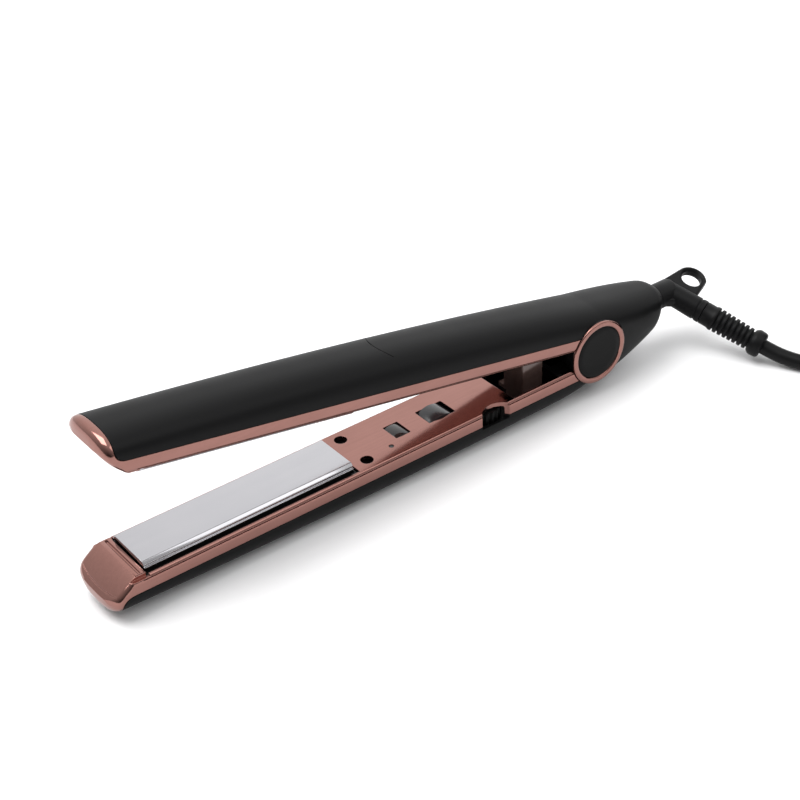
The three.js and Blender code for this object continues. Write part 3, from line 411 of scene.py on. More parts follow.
def extruded(name: str, corners: Sequence[Point], by: Point) -> Piece:
    """Draw a flat face and extrude it.

    Args:
        name: Name of the piece.
        corners: The face's corners.
        by: How far it is extruded along each axis.

    Returns:
        The extruded piece.
    """
    piece = raw(name, corners, [list(range(len(corners)))])
    pick(piece)
    bpy.ops.object.mode_set(mode="EDIT")
    bpy.ops.mesh.select_all(action="SELECT")
    bpy.ops.mesh.extrude_region_move(TRANSFORM_OT_translate={"value": by})
    bpy.ops.object.mode_set(mode="OBJECT")
    return outward(piece)


def slab(name: str, outline: Sequence[Flat], y: Flat) -> Piece:
    """Extrude a side profile, given as x and z, between two values of y."""
    return extruded(name, [(px, y[0], pz) for px, pz in outline], (0, y[1] - y[0], 0))


def plan(name: str, outline: Sequence[Flat], z: Flat) -> Piece:
    """Extrude a plan outline, given as x and y, between two heights."""
    return extruded(name, [(px, py, z[0]) for px, py in outline], (0, 0, z[1] - z[0]))


def loft(name: str, rows: Sequence[Sequence[Point]]) -> Piece:
    """Skin a body through rows of points that have the same count.

    Args:
        name: Name of the piece.
        rows: The rows, from one end to the other.

    Returns:
        The closed body.
    """
    count = len(rows[0])
    faces: list[list[int]] = [list(range(count))]
    for step in range(len(rows) - 1):
        low = step * count
        for i in range(count):
            j = (i + 1) % count
            faces.append([low + i, low + j, low + count + j, low + count + i])
    last = (len(rows) - 1) * count
    faces.append(list(range(last, last + count)))
    return outward(raw(name, [point for row in rows for point in row], faces))


def turned(name: str, profile: Sequence[Flat], steps: int = 96, closed: bool = False) -> Piece:
    """Spin a profile round the X axis.

    Args:
        name: Name of the piece.
        profile: Its points, as distance along X and radius.
        steps: How many steps the spin takes.
        closed: Whether the profile is a closed loop.

    Returns:
        The turned piece.
    """
    edges = [[i, i + 1] for i in range(len(profile) - 1)]
    if closed:
        edges.append([len(profile) - 1, 0])
    piece = raw(name, [(px, radius, 0) for px, radius in profile], edges)
    pick(piece)
    bpy.ops.object.mode_set(mode="EDIT")
    bpy.ops.mesh.select_all(action="SELECT")
    bpy.ops.mesh.spin(steps=steps, angle=2 * math.pi, center=(0, 0, 0), axis=(1, 0, 0))
    bpy.ops.object.mode_set(mode="OBJECT")
    return outward(piece)


def change(piece: Piece, how: Cut, tools: Iterable[Piece]) -> Piece:
    """Change a solid by others, which are used up.

    Args:
        piece: The solid.
        how: Whether the tools are taken away, added or kept.
        tools: The solids that change it.

    Returns:
        The same piece.
    """
    for tool in tools:
        pick(piece)
        step = piece.modifiers.new("change", "BOOLEAN")
        step.operation = how.value
        step.solver = "MANIFOLD"
        step.object = tool
        bpy.ops.object.modifier_apply(modifier=step.name)
        bpy.data.objects.remove(tool, do_unlink=True)
    return piece


def copy_of(piece: Piece) -> Piece:
    """Copy a piece with a mesh of its own.

    Args:
        piece: The piece.

    Returns:
        The copy.
    """
    twin = piece.copy()
    twin.data = piece.data.copy()
    bpy.context.scene.collection.objects.link(twin)
    return twin


def rounded(piece: Piece, width: float, segments: int = 3, angle: float = 35.0) -> Piece:
    """Round the edges that are sharper than an angle.

    Args:
        piece: The piece.
        width: Width of the round.
        segments: Facets across it.
        angle: The angle in degrees.

    Returns:
        The same piece.
    """
    pick(piece)
    step = piece.modifiers.new("round", "BEVEL")
    step.width = width
    step.segments = segments
    step.limit_method = "ANGLE"
    step.angle_limit = math.radians(angle)
    bpy.ops.object.modifier_apply(modifier=step.name)
    return piece


def moved(piece: Piece, matrix: Matrix) -> Piece:
    """Move a piece's mesh, in millimetres.

    Args:
        piece: The piece.
        matrix: The move.

    Returns:
        The same piece.
    """
    piece.data.transform(matrix)
    piece.data.update()
    return piece


def finished(
    piece: Piece, frame: Matrix, finish: Finish, body: str, nodes: Sequence[str], angle: float = 32.0
) -> Piece:
    """Put a piece in place in metres, dress it and tie it to its body.

    Args:
        piece: The piece, in millimetres and in its own frame.
        frame: The matrix of its frame.
        finish: Its finish.
        body: The body that it rides on.
        nodes: The solids that it stands for.
        angle: Edges flatter than this are shaded smooth, in degrees.

    Returns:
        The same piece.
    """
    piece.data.transform(Matrix.Scale(MM, 4) @ frame)
    piece.data.update()
    pick(piece)
    bpy.ops.object.shade_smooth_by_angle(angle=math.radians(angle))
    piece.data.materials.clear()
    piece.data.materials.append(finish.material())
    if nodes:
        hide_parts(*nodes)
    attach(piece, body)
    LOG.info("%s: %d faces, rides on %s", piece.name, len(piece.data.polygons), body)
    return piece


# ---- the form that both arms share --------------------------------------------------
@dataclass(frozen=True)
class ArmForm:
    """The outer form of an arm and the lines that divide it into liner and shell."""

    half_width: float = 15.1
    lip: float = 3.3
    bridge: float = 2.0
    band_corner: float = 5.5
    lip_round: float = 4.2
    parting: float = 9.4
    crown_height: float = 21.3
    crown_bow: float = 3.5
    bow_length: float = 130.0
    power: float = 2.6
    rest_cut: float = 0.25
    shell_wall: float = 2.0
    liner_wall: float = 1.8
    floor_thickness: float = 2.0
    nose_start: float = -123.6
    nose_length: float = 12.5
    side_round: float = 5.0
    crown_round: float = 4.0
    nose_axis: float = 12.5
    shell_front: float = -131.8
    corner_length: float = 5.7
    corner_height: float = 4.6
    roll_fillet: float = 2.6
    roll_slope: float = 0.36
    roll_bend: float = 0.0308
    pivot: float = 103.0
    rise: float = 0.84
    open_angle: float = 10.1

    @property
    def tip(self) -> float:
        """Where the nose ends."""
        return self.nose_start - self.nose_length

    @property
    def floor_bottom(self) -> float:
        """Height of the underside of the liner's floor."""
        return self.lip + self.floor_thickness

    @property
    def contact(self) -> float:
        """Height of the plane where the plates meet."""
        return self.crown_height - self.rest_cut

    def crown(self, x: float) -> float:
        """Give the crown's height at a station.

        Args:
            x: The station.

        Returns:
            The height.
        """
        return self.crown_height - self.crown_bow * (x / self.bow_length) ** 2

    def lower_crown(self, x: float) -> float:
        """Give the lower arm's crown, which rounds off at the hinge.

        Args:
            x: The station.

        Returns:
            The height.
        """
        share = max(0.0, x - (self.pivot - 19)) / 20
        return self.parting + (self.crown(x) - self.parting) * math.sqrt(max(0.0, 1 - share**2))

    def crown_outline(self, steps: int, sign: int = 1) -> list[Flat]:
        """Give half of a rounded section, from one side over the top to the other.

        Args:
            steps: How many steps it has.
            sign: 1 for the top and -1 for the bottom.

        Returns:
            Its points, as shares of the half width and of the height.
        """
        points = []
        for i in range(steps + 1):
            angle = math.pi * i / steps
            across, up = math.cos(angle), math.sin(angle)
            u = math.copysign(abs(across) ** (2 / self.power), across)
            points.append((u, sign * abs(up) ** (2 / self.power)))
        return points

    def outline(self) -> list[Flat]:
        """Give the section of an arm: crown above 0, side band and round lip below it."""
        band = (self.parting - self.band_corner) / (self.parting - self.bridge)
        flat = 1 - self.lip_round / self.half_width
        corner = []
        for i in range(9):
            angle = math.pi / 2 * i / 8
            corner.append((flat + (1 - flat) * math.cos(angle), -band - (1 - band) * math.sin(angle)))
        left = [(-u, v) for u, v in corner]
        return [*self.crown_outline(48), *left, *reversed(corner)]

    def share(self, from_tip: float, length: float) -> float:
        """Give what is left of a section near the nose's tip.

        Args:
            from_tip: Distance from the tip.
            length: Length over which the section draws in.

        Returns:
            The share that is left.
        """
        along = max(0.0, 1 - from_tip / length)
        return max(0.0, 1 - along**3) ** (1 / 3)

    def stations(self, inset: float) -> list[float]:
        """List where along the arm its sections stand.

        Args:
            inset: How far the form is drawn in.

        Returns:
            The stations, from the nose to the pivot.
        """
        tip = self.tip + inset
        near = [0.02, 0.07, 0.16, 0.3, 0.5, 0.75, 1.05, 1.4, 1.8, 2.3, 2.9, 3.5, 4.2, 5.0, 7.0, 9.5]
        nose = [tip + step for step in near]
        middle = [self.nose_start + 5.5 * i for i in range(38)]
        rear = [84, 87, 90, 92.5, 95, 97, 99, 100.5, 101.6, 102.4, self.pivot]
        return [*nose, *middle, *rear]

    def solid(self, name: str, inset: float, crown: Callable[[float], float] | None = None) -> Piece:
        """Loft the whole outer form, or the same form drawn in.

        Args:
            name: Name of the piece.
            inset: How far it is drawn in.
            crown: The crown's height at a station.

        Returns:
            The form.
        """
        height = crown or self.crown
        rows = []
        for x in self.stations(inset):
            from_tip = x - self.tip - inset
            width = (self.half_width - inset) * self.share(from_tip, self.side_round)
            left = self.share(from_tip, self.crown_round)
            row = []
            for u, v in self.outline():
                above = v * (height(x) - inset - self.parting)
                below = v * (self.parting - self.bridge - inset)
                z = self.parting + (above if v > 0 else below)
                row.append((x, u * width, self.nose_axis + (z - self.nose_axis) * left))
            rows.append(row)
        return loft(name, rows)

    def shell_side(self, grow: float, rear: float) -> Piece:
        """Make everything on the shell's side of the parting line.

        Args:
            grow: How far it is moved towards the liner.
            rear: Where it ends.

        Returns:
            The cutting solid.
        """
        front, top = self.shell_front - grow, self.parting - grow
        turn = []
        for i in range(13):
            t = i / 12
            x = (1 - t) ** 2 * (front + self.corner_length) + 2 * t * (1 - t) * front + t**2 * front
            z = (1 - t) ** 2 * top + 2 * t * (1 - t) * top + t**2 * (top + self.corner_height)
            turn.append((x, z))
        high = 2 * self.crown_height
        return slab("shell_side", [*turn, (front, high), (rear, high), (rear, top)], (-30, 30))

    def roll_height(self, x: float) -> float:
        """Give the height of the nose's roll, which falls away from the bridge.

        Args:
            x: The station.

        Returns:
            The height.
        """
        along = self.nose_start - x
        return self.bridge + self.roll_slope * along + self.roll_bend * along**2

    def roll_side(self, lift: float, fillet: float) -> Piece:
        """Make everything in front of the nose's roll.

        Args:
            lift: How far the roll is lifted.
            fillet: Radius of the round between the roll and the sides.

        Returns:
            The cutting solid.
        """
        rows = []
        for x in [self.nose_start - 0.52 * step for step in range(26)]:
            width = self.half_width * self.share(max(0.4, x - self.tip), self.side_round)
            part = min(1.0, (self.nose_start - x) / 5)
            radius = max(0.01, fillet * part * part * (3 - 2 * part))
            inner = max(0.5, width - radius)
            height = self.roll_height(x) + lift
            edge = []
            for i in range(11):
                turn = math.pi / 2 * i / 10
                edge.append((inner + radius * math.sin(turn), radius * (1 - math.cos(turn))))
            left = [(x, -y, height + up) for y, up in reversed(edge)]
            right = [(x, y, height + up) for y, up in edge]
            ends = (x, -24, -5), (x, -24, height + radius), (x, 24, height + radius), (x, 24, -5)
            rows.append([*ends[:2], *left, *right, *ends[2:]])
        return loft("roll_side", rows)


FORM = ArmForm()
UPPER = (
    Matrix.Translation((FORM.pivot, 0, FORM.contact + FORM.rise))
    @ Matrix.Rotation(math.radians(FORM.open_angle), 4, "Y")
    @ Matrix.Translation((-FORM.pivot, 0, -FORM.rise))
)
LOWER = Matrix.Translation((0, 0, FORM.contact)) @ Matrix.Rotation(math.pi, 4, "X")


@dataclass(frozen=True)
class Layout:
    """Places that the liners, shells and small pieces share."""

    plate_front: float = -120.0
    plate_rear: float = -25.0
    well: float = 13.3
    screw_x: float = -16.6
    screw_y: float = 8.9
    screw_head: float = 2.7
    post: float = 3.1
    post_bore: float = 1.6
    post_depth: float = 14.3
    indicator: tuple[float, float, float, float] = (5.0, 0.2, 7.4, 9.4)
    rocker: tuple[float, float, float, float] = (25.0, 0.2, 13.6, 9.9)
    led: tuple[float, float, float] = (-3.5, 7.8, 1.1)
    wheel_x: float = 45.4
    wheel_y: float = 4.2
    wheel_radius: float = 9.0
    wheel_top: float = 6.1
    wheel_thickness: float = 7.4
    scoop_radius: float = 8.7
    scoop_y: float = 19.7
    scoop_depth: float = 10.6
    pit_front: float = 56.0
    tower_front: float = 67.5
    tower_length: float = 11.5
    tower_width: float = 12.6
    cheek: float = 14.5
    cheek_inner: float = 10.4
    cheek_outer: float = 14.3
    knuckle: float = 12.5
    far_shrink: float = 1.2
    ring: float = 14.7
    ring_width: float = 2.6
    ring_face: float = 15.9
    pin: float = 3.0

    @property
    def well_front(self) -> float:
        """Where the plate's well starts."""
        return self.plate_front - 0.6

    @property
    def well_rear(self) -> float:
        """Where the plate's well ends."""
        return self.plate_rear + 1.6

    @property
    def knuckle_half(self) -> float:
        """Half the length of the knuckle."""
        return self.cheek_inner - GAP


PLACES = Layout()


# ---- liners -------------------------------------------------------------------------
@dataclass
class Liner:
    """The plated inner moulding of an arm: floor, lip, side band and nose."""

    groove_low: float = 4.25
    groove_high: float = 4.65
    groove_depth: float = 0.75
    crease_radius: float = 0.2
    bar_height: float = 2.5
    bar_half: float = 12.4
    corner_drop: float = 0.7
    bead_x: float = -122.75
    bead_radius: float = 0.6

    def blank(self, name: str) -> Piece:
        """Cut the liner's common form from the arm.

        Args:
            name: Name of the piece.

        Returns:
            The blank.
        """
        hollow = FORM.solid("hollow", FORM.liner_wall)
        low = block("low", (FORM.tip - 1, FORM.pivot + 1), (-20, 20), (FORM.floor_bottom + 1.4, 40))
        over = block("over", (PLACES.well_front, FORM.pivot + 1), (-20, 20), (FORM.floor_bottom, 40))
        second = copy_of(hollow)
        change(hollow, Cut.KEEP, [low])
        change(second, Cut.KEEP, [over])
        change(hollow, Cut.ADD, [second])
        change(hollow, Cut.TAKE, [FORM.roll_side(2.5, 0.0)])
        lip = block("lip", (PLACES.well_front, FORM.pivot + 5), (-20, 20), (-5, FORM.lip))
        ends = (PLACES.well_front, PLACES.well_rear)
        well = block("well", ends, (-PLACES.well, PLACES.well), (-5, 40))
        roll = FORM.roll_side(0.0, FORM.roll_fillet)
        blank = FORM.solid(name, 0.0)
        change(blank, Cut.TAKE, [FORM.shell_side(GAP, FORM.pivot + 20), hollow, lip, well, roll])
        front = (FORM.tip - 1, PLACES.well_front + 1)
        low = (-5, FORM.lip + self.corner_drop)
        face = block("face", front, (-20, 20), (-5, self.bar_height))
        sides = [block("side", front, y, low) for y in ((-20, -PLACES.well), (PLACES.well, 20))]
        change(blank, Cut.TAKE, [face, *sides])
        return change(blank, Cut.TAKE, [*self.side_grooves(), self.bead(), self.crease()])

    def side_grooves(self) -> list[Piece]:
        """Make the cutters of the fine line under each lip."""
        inner = FORM.half_width - self.groove_depth
        ends = (FORM.nose_start + 1, FORM.pivot + 1)
        heights = (self.groove_low, self.groove_high)
        return [block("line", ends, (inner, 20), heights), block("line", ends, (-20, -inner), heights)]

    def bead(self) -> Piece:
        """Make the cutter of the groove between the bridge's bar and the roll."""
        ends = (-self.bar_half, self.bar_half)
        return bar("bead", self.bead_radius, "Y", ends, (self.bead_x, self.bar_height), 24)

    def crease(self) -> Piece:
        """Make the cutter of the fine line where the roll meets the nose's rim."""
        path = []
        for i in range(41):
            y = -12.6 + 25.2 * i / 40
            x = -134.45 + 0.0078 * y**2
            path.append(Vector((x, y, FORM.roll_height(x) + 0.02)))
        return Tube(self.crease_radius, 10).along("crease", path)

    def screw_holes(self) -> list[Piece]:
        """Make the cutters of the two deep screw holes."""
        ends = (0, FORM.floor_bottom + 3)
        places = [(PLACES.screw_x, y) for y in (-PLACES.screw_y, PLACES.screw_y)]
        return [bar("hole", PLACES.screw_head, "Z", ends, place, 48) for place in places]

    def upper(self) -> Piece:
        """Make the upper arm's liner.

        Returns:
            The liner.
        """
        liner = self.blank("upper_liner_plated")
        half = PLACES.knuckle_half + GAP
        at = (FORM.pivot, FORM.rise)
        barrel = bar("barrel", PLACES.knuckle + 0.6, "Y", (-half, half), at, 96)
        cheeks = bar("cheeks", PLACES.cheek + 0.5, "Y", (-20, 20), at, 96)
        side = PLACES.tower_width / 2 + 1
        way = block("way", (PLACES.tower_front - 3, FORM.pivot), (-side, side), (-5, 20))
        change(liner, Cut.TAKE, [barrel, cheeks, way, *self.screw_holes()])
        return finished(liner, UPPER, ROSE, "upper_arm", ["upper_liner"])

    def lower(self) -> Piece:
        """Make the lower arm's liner with its windows, wheel scoop and hinge pit.

        Returns:
            The liner.
        """
        liner = self.blank("lower_liner_plated")
        tools = self.screw_holes()
        for x, y, length, width in (PLACES.indicator, PLACES.rocker):
            ends = (x - length / 2, x + length / 2)
            window = block("window", ends, (y - width / 2, y + width / 2), (0, 8))
            tools.append(rounded(window, 0.5, 4))
        x, y, radius = PLACES.led
        tools.append(bar("led", radius, "Z", (0, 8), (x, y), 32))
        at = (PLACES.wheel_x, PLACES.scoop_y)
        tools.append(bar("scoop", PLACES.scoop_radius, "Z", (-1, PLACES.scoop_depth), at, 128))
        tools.append(self.wheel_way())
        tools.append(block("pit", (PLACES.pit_front, FORM.pivot + 1), (-PLACES.well, PLACES.well), (0, 20)))
        tools.append(bar("cheeks", PLACES.cheek + 0.5, "Y", (-20, 20), (FORM.pivot, -FORM.rise), 96))
        change(liner, Cut.TAKE, tools)
        return finished(liner, LOWER, ROSE, "lower_arm", ["lower_liner"])

    @staticmethod
    def wheel_way() -> Piece:
        """Make the cutter of the room that the wheel turns in."""
        low = PLACES.wheel_top + PLACES.wheel_thickness + 0.5
        ends = (FORM.floor_bottom - 0.1, low)
        return bar("wheel_way", PLACES.wheel_radius + 0.6, "Z", ends, (PLACES.wheel_x, PLACES.wheel_y), 96)


# ---- tubes --------------------------------------------------------------------------
@dataclass(frozen=True)
class Tube:
    """A round tube that follows a path."""

    radius: float
    sides: int = 16

    def along(self, name: str, path: Sequence[Vector]) -> Piece:
        """Sweep the tube along a path without twisting it.

        Args:
            name: Name of the piece.
            path: The points that its middle follows.

        Returns:
            The tube, closed at both ends.
        """
        ahead = (path[1] - path[0]).normalized()
        side = ahead.orthogonal().normalized()
        rows = []
        for i, point in enumerate(path):
            before = path[max(0, i - 1)]
            after = path[min(len(path) - 1, i + 1)]
            ahead = (after - before).normalized()
            side = (side - ahead * side.dot(ahead)).normalized()
            other = ahead.cross(side)
            row = []
            for k in range(self.sides):
                angle = 2 * math.pi * k / self.sides
                row.append(tuple(point + self.radius * (math.cos(angle) * side + math.sin(angle) * other)))
            rows.append(row)
        return loft(name, rows)


def smooth_path(points: Sequence[Vector], steps: int) -> list[Vector]:
    """Run a smooth line through points.

    Args:
        points: The points.
        steps: How many steps it takes between two of them.

    Returns:
        The points of the line.
    """
    line = []
    for i in range(len(points) - 1):
        before = points[i - 1] if i else 2 * points[0] - points[1]
        after = points[i + 2] if i + 2 < len(points) else 2 * points[-1] - points[-2]
        a, b = points[i], points[i + 1]
        for step in range(steps):
            t = step / steps
            line.append(
                0.5 * ((2 * a) + (b - before) * t + (2 * before - 5 * a + 4 * b - after) * t**2
                       + (3 * a - before - 3 * b + after) * t**3)
            )
    line.append(points[-1])
    return line


# ---- shells -------------------------------------------------------------------------
@dataclass
class Shells:
    """The soft-touch outer mouldings of both arms."""

    tail_length: float = 45.0
    tail_end: float = 9.0
    chin: float = 19.5
    chin_length: float = 12.0
    tail_round: float = 6.0
    end_share: float = 0.55
    joint_middle_x: float = 4.6
    joint_radius: float = 14.5
    joint_half_width: float = 9.2
    joint_width: float = 0.4
    joint_depth: float = 0.35
    seat: float = 6.5
    seat_height: float = 14.0
    bulkhead: Flat = (82.0, 84.5)

    def tail(self, name: str, inset: float) -> Piece:
        """Loft the tail, which keeps the arm's crown and rises from its chin to the cord.

        Args:
            name: Name of the piece.
            inset: How far it is drawn in.

        Returns:
            The tail.
        """
        end = FORM.pivot + self.tail_length
        stations = [FORM.pivot - 16, FORM.pivot, 105, 107, 109, 112, FORM.pivot + self.chin_length]
        stations += [117, 119, 121.5, 124, 126.5, 129, 131.5, 134, 136.5, 139, 141, 142]
        stations += [142.8, 143.6, 144.4, 145.2, 145.9, 146.5, 147, 147.4, 147.7, 147.9, end]
        outline = [*FORM.crown_outline(48), *list(reversed(FORM.crown_outline(48, -1)))[1:-1]]
        rows = []
        for x in stations:
            share = max(0.0, x - FORM.pivot) / self.tail_length
            width = FORM.half_width - (FORM.half_width - self.tail_end) * share**3
            high = FORM.crown(min(x, FORM.pivot))
            rise = max(0.0, x - FORM.pivot - self.chin_length) / (self.tail_length - self.chin_length)
            low = -self.chin + self.chin * rise
            middle = FORM.parting + share
            past = max(0.0, x - end + self.tail_round) / self.tail_round
            round_off = self.end_share + (1 - self.end_share) * math.sqrt(max(0.0, 1 - past**2))
            row = []
            for u, v in outline:
                z = v * (high - inset - middle if v > 0 else middle - low - inset)
                row.append((x, u * (width - inset) * round_off, middle + z * round_off))
            rows.append(row)
        return loft(name, rows)

    @staticmethod
    def bosses(inside: Piece) -> Piece:
        """Make the two posts that the screws hold.

        Args:
            inside: The room inside the shell, which is used up.

        Returns:
            The posts.
        """
        start = FORM.floor_bottom + GAP
        ends = (start, FORM.crown_height)
        radius = PLACES.post
        posts = bar("posts", radius, "Z", ends, (PLACES.screw_x, -PLACES.screw_y), 48)
        change(posts, Cut.ADD, [bar("post", radius, "Z", ends, (PLACES.screw_x, PLACES.screw_y), 48)])
        change(posts, Cut.KEEP, [inside])
        for y in (-PLACES.screw_y, PLACES.screw_y):
            bore = bar("bore", PLACES.post_bore, "Z", (0, PLACES.post_depth), (PLACES.screw_x, y), 32)
            change(posts, Cut.TAKE, [bore])
        return posts

    def joint_line(self) -> Piece:
        """Make the cutter of the fine curved joint in the upper crown."""
        middle = (self.joint_middle_x, 0)
        outer = bar("joint", self.joint_radius + self.joint_width / 2, "Z", (0, 40), middle, 192)
        inner = bar("inner", self.joint_radius - self.joint_width / 2, "Z", (-1, 41), middle, 192)
        change(outer, Cut.TAKE, [inner])
        half = self.joint_half_width
        change(outer, Cut.KEEP, [block("keep", (-30, self.joint_middle_x), (-half, half), (5, 30))])
        return change(outer, Cut.TAKE, [FORM.solid("deep", self.joint_depth)])

    def upper(self) -> Piece:
        """Make the upper shell with its tail and hinge cheeks.

        Returns:
            The shell.
        """
        pivot, rise = FORM.pivot, FORM.rise
        shell = FORM.solid("upper_shell_soft", 0.0)
        change(shell, Cut.KEEP, [FORM.shell_side(0.0, pivot + 1)])
        tail = self.tail("tail", 0.0)
        reach = block("behind", (pivot + 8, pivot + self.tail_length + 1), (-20, 20), (-30, 40))
        change(reach, Cut.ADD, [block("above", (pivot - 1, pivot + 9), (-20, 20), (-9, 40))])
        change(tail, Cut.KEEP, [reach])
        far = PLACES.cheek - PLACES.far_shrink
        at = (pivot, rise)
        near_disc = bar("near", PLACES.cheek, "Y", (-FORM.half_width, 0), at, 128)
        far_disc = bar("far", far, "Y", (-1, FORM.half_width), at, 128)
        change(shell, Cut.ADD, [tail, near_disc, far_disc])
        hollow = FORM.solid("hollow", FORM.shell_wall)
        change(hollow, Cut.KEEP, [block("part", (-200, pivot), (-20, 20), (-5, 40))])
        tail_hollow = self.tail("tail_hollow", FORM.shell_wall)
        inner = PLACES.cheek_inner
        room = block("room", (pivot - 0.5, pivot + self.tail_length - 2), (-inner, inner), (-30, 40))
        change(tail_hollow, Cut.KEEP, [room])
        change(shell, Cut.TAKE, [hollow, tail_hollow])
        outer = PLACES.cheek_outer
        keep_far = bar("keep_far", far, "Y", (inner, outer), at, 128)
        keep_near = bar("keep_near", PLACES.cheek, "Y", (-outer, -inner), at, 128)
        change(shell, Cut.ADD, [keep_far, keep_near])
        tools = [
            bar("ring_far", PLACES.ring - PLACES.far_shrink + GAP, "Y", (outer, 20), at, 128),
            bar("ring_near", PLACES.ring + GAP, "Y", (-20, -outer), at, 128),
            bar("knuckle", PLACES.knuckle + 0.9, "Y", (-inner, inner), at, 128),
            block("under", (pivot - 20, pivot + 8), (-inner, inner), (-30, FORM.parting)),
            bar("pin", PLACES.pin + GAP, "Y", (-20, 20), at, 48),
            self.gland_way(),
            self.joint_line(),
        ]
        change(shell, Cut.TAKE, tools)
        boss_x = PLACES.tower_front + PLACES.tower_length / 2 - 1.5
        seat_ends = (self.seat_height, FORM.crown_height - 1.2)
        seat = bar("seat", self.seat, "Z", seat_ends, (boss_x, 0), 48)
        change(seat, Cut.KEEP, [FORM.solid("under", FORM.shell_wall - 0.5)])
        change(shell, Cut.ADD, [self.bosses(FORM.solid("inside", FORM.shell_wall - 0.5)), seat])
        return finished(shell, UPPER, SOFT_TOUCH, "upper_arm", ["upper_shell"])

    @staticmethod
    def gland_way() -> Piece:
        """Make the cutter of the hole for the swivel, in the upper arm's frame."""
        bore = bar("bore", Swivel.neck + GAP, "X", (-7, 7), (0, 0), 64)
        room = bar("room", Swivel.neck + 2.4, "X", (-8, -2), (0, 0), 64)
        front = block("front", (0.6, 8.6), (-20, 20), (-20, 20))
        change(bore, Cut.ADD, [room, front])
        return moved(bore, UPPER.inverted() @ GLAND)

    def lower(self) -> Piece:
        """Make the lower shell with its hinge ears and knuckle.

        Returns:
            The shell.
        """
        pivot, rise = FORM.pivot, FORM.rise
        shell = FORM.solid("lower_shell_soft", 0.0, FORM.lower_crown)
        change(shell, Cut.KEEP, [FORM.shell_side(0.0, pivot)])
        change(shell, Cut.TAKE, [FORM.solid("hollow", FORM.shell_wall, FORM.lower_crown)])
        inside = FORM.solid("inside", FORM.shell_wall - 0.5, FORM.lower_crown)
        top = FORM.lip + 0.6
        half = PLACES.knuckle_half
        side = PLACES.well - 0.8
        front, rear = self.bulkhead
        bulkhead = block("bulkhead", (front, rear), (-side, side), (top, 30))
        change(bulkhead, Cut.KEEP, [copy_of(inside)])
        ears = block("ears", (front, pivot), (-half, half), (top, 30))
        change(ears, Cut.KEEP, [copy_of(inside)])
        at = (pivot, -rise)
        change(shell, Cut.ADD, [bulkhead, ears, bar("barrel", PLACES.knuckle, "Y", (-half, half), at, 128)])
        scoop_at = (PLACES.wheel_x, PLACES.scoop_y)
        tools = [
            block("slot", (rear, pivot + 20), (-5, 5), (-20, FORM.crown_height - 8)),
            bar("way_1", PLACES.cheek + 0.5, "Y", (half, 20), at, 128),
            bar("way_2", PLACES.cheek + 0.5, "Y", (-20, -half), at, 128),
            bar("bush", PLACES.pin + 1.9, "Y", (-20, 20), at, 48),
            bar("scoop", PLACES.scoop_radius, "Z", (-1, PLACES.scoop_depth), scoop_at, 128),
            Liner.wheel_way(),
            block("rest", (-200, 200), (-20, 20), (FORM.contact, 40)),
        ]
        change(shell, Cut.TAKE, tools)
        change(shell, Cut.ADD, [self.bosses(inside)])
        return finished(shell, LOWER, SOFT_TOUCH, "lower_arm", ["lower_shell"])


# ---- hinge --------------------------------------------------------------------------
@dataclass
class Hinge:
    """The plated rings and the flat caps on both sides of the pivot."""

    crown: float = 0.55
    cap_edge: float = 0.35

    def ring(self, side: int) -> Piece:
        """Turn the ring of one side.

        Args:
            side: -1 for the near side and 1 for the far one.

        Returns:
            The ring.
        """
        outer = PLACES.ring - (PLACES.far_shrink if side > 0 else 0)
        inner = outer - PLACES.ring_width
        back, face = PLACES.cheek_outer + GAP, PLACES.ring_face
        profile = [(back, inner), (back, outer)]
        middle, reach = (inner + outer) / 2, PLACES.ring_width / 2
        for i in range(13):
            angle = math.pi * i / 12
            rise = self.crown * math.sin(angle) - self.crown
            profile.append((face + rise, middle + reach * math.cos(angle)))
        place = "near" if side < 0 else "far"
        ring = moved(turned(f"ring_{place}", profile, 128, True), self.to_side(side))
        return finished(ring, UPPER, ROSE, "upper_arm", [f"pivot_ring_{place}"], 40.0)

    def cap(self, side: int) -> Piece:
        """Turn the flat cap of one side.

        Args:
            side: -1 for the near side and 1 for the far one.

        Returns:
            The cap.
        """
        outer = PLACES.ring - (PLACES.far_shrink if side > 0 else 0) - PLACES.ring_width - 0.12
        back, face = PLACES.cheek_outer + GAP, PLACES.ring_face - 0.4
        edge = self.cap_edge
        profile = [(back, 0), (back, outer), (face - edge, outer), (face - edge * 0.3, outer - edge * 0.3)]
        profile += [(face, outer - edge), (face - 0.05, outer - 3), (face - 0.09, outer / 2)]
        profile.append((face - 0.1, 0))
        place = "near" if side < 0 else "far"
        cap = moved(turned(f"cap_{place}", profile, 128), self.to_side(side))
        return finished(cap, UPPER, SATIN, "upper_arm", [f"pivot_cap_{place}"], 25.0)

    @staticmethod
    def to_side(side: int) -> Matrix:
        """Give the move from the turning axis to one side of the pivot.

        Args:
            side: -1 for the near side and 1 for the far one.

        Returns:
            The move.
        """
        turn = Matrix.Rotation(math.radians(90 * side), 4, "Z")
        return Matrix.Translation((FORM.pivot, 0, FORM.rise)) @ turn


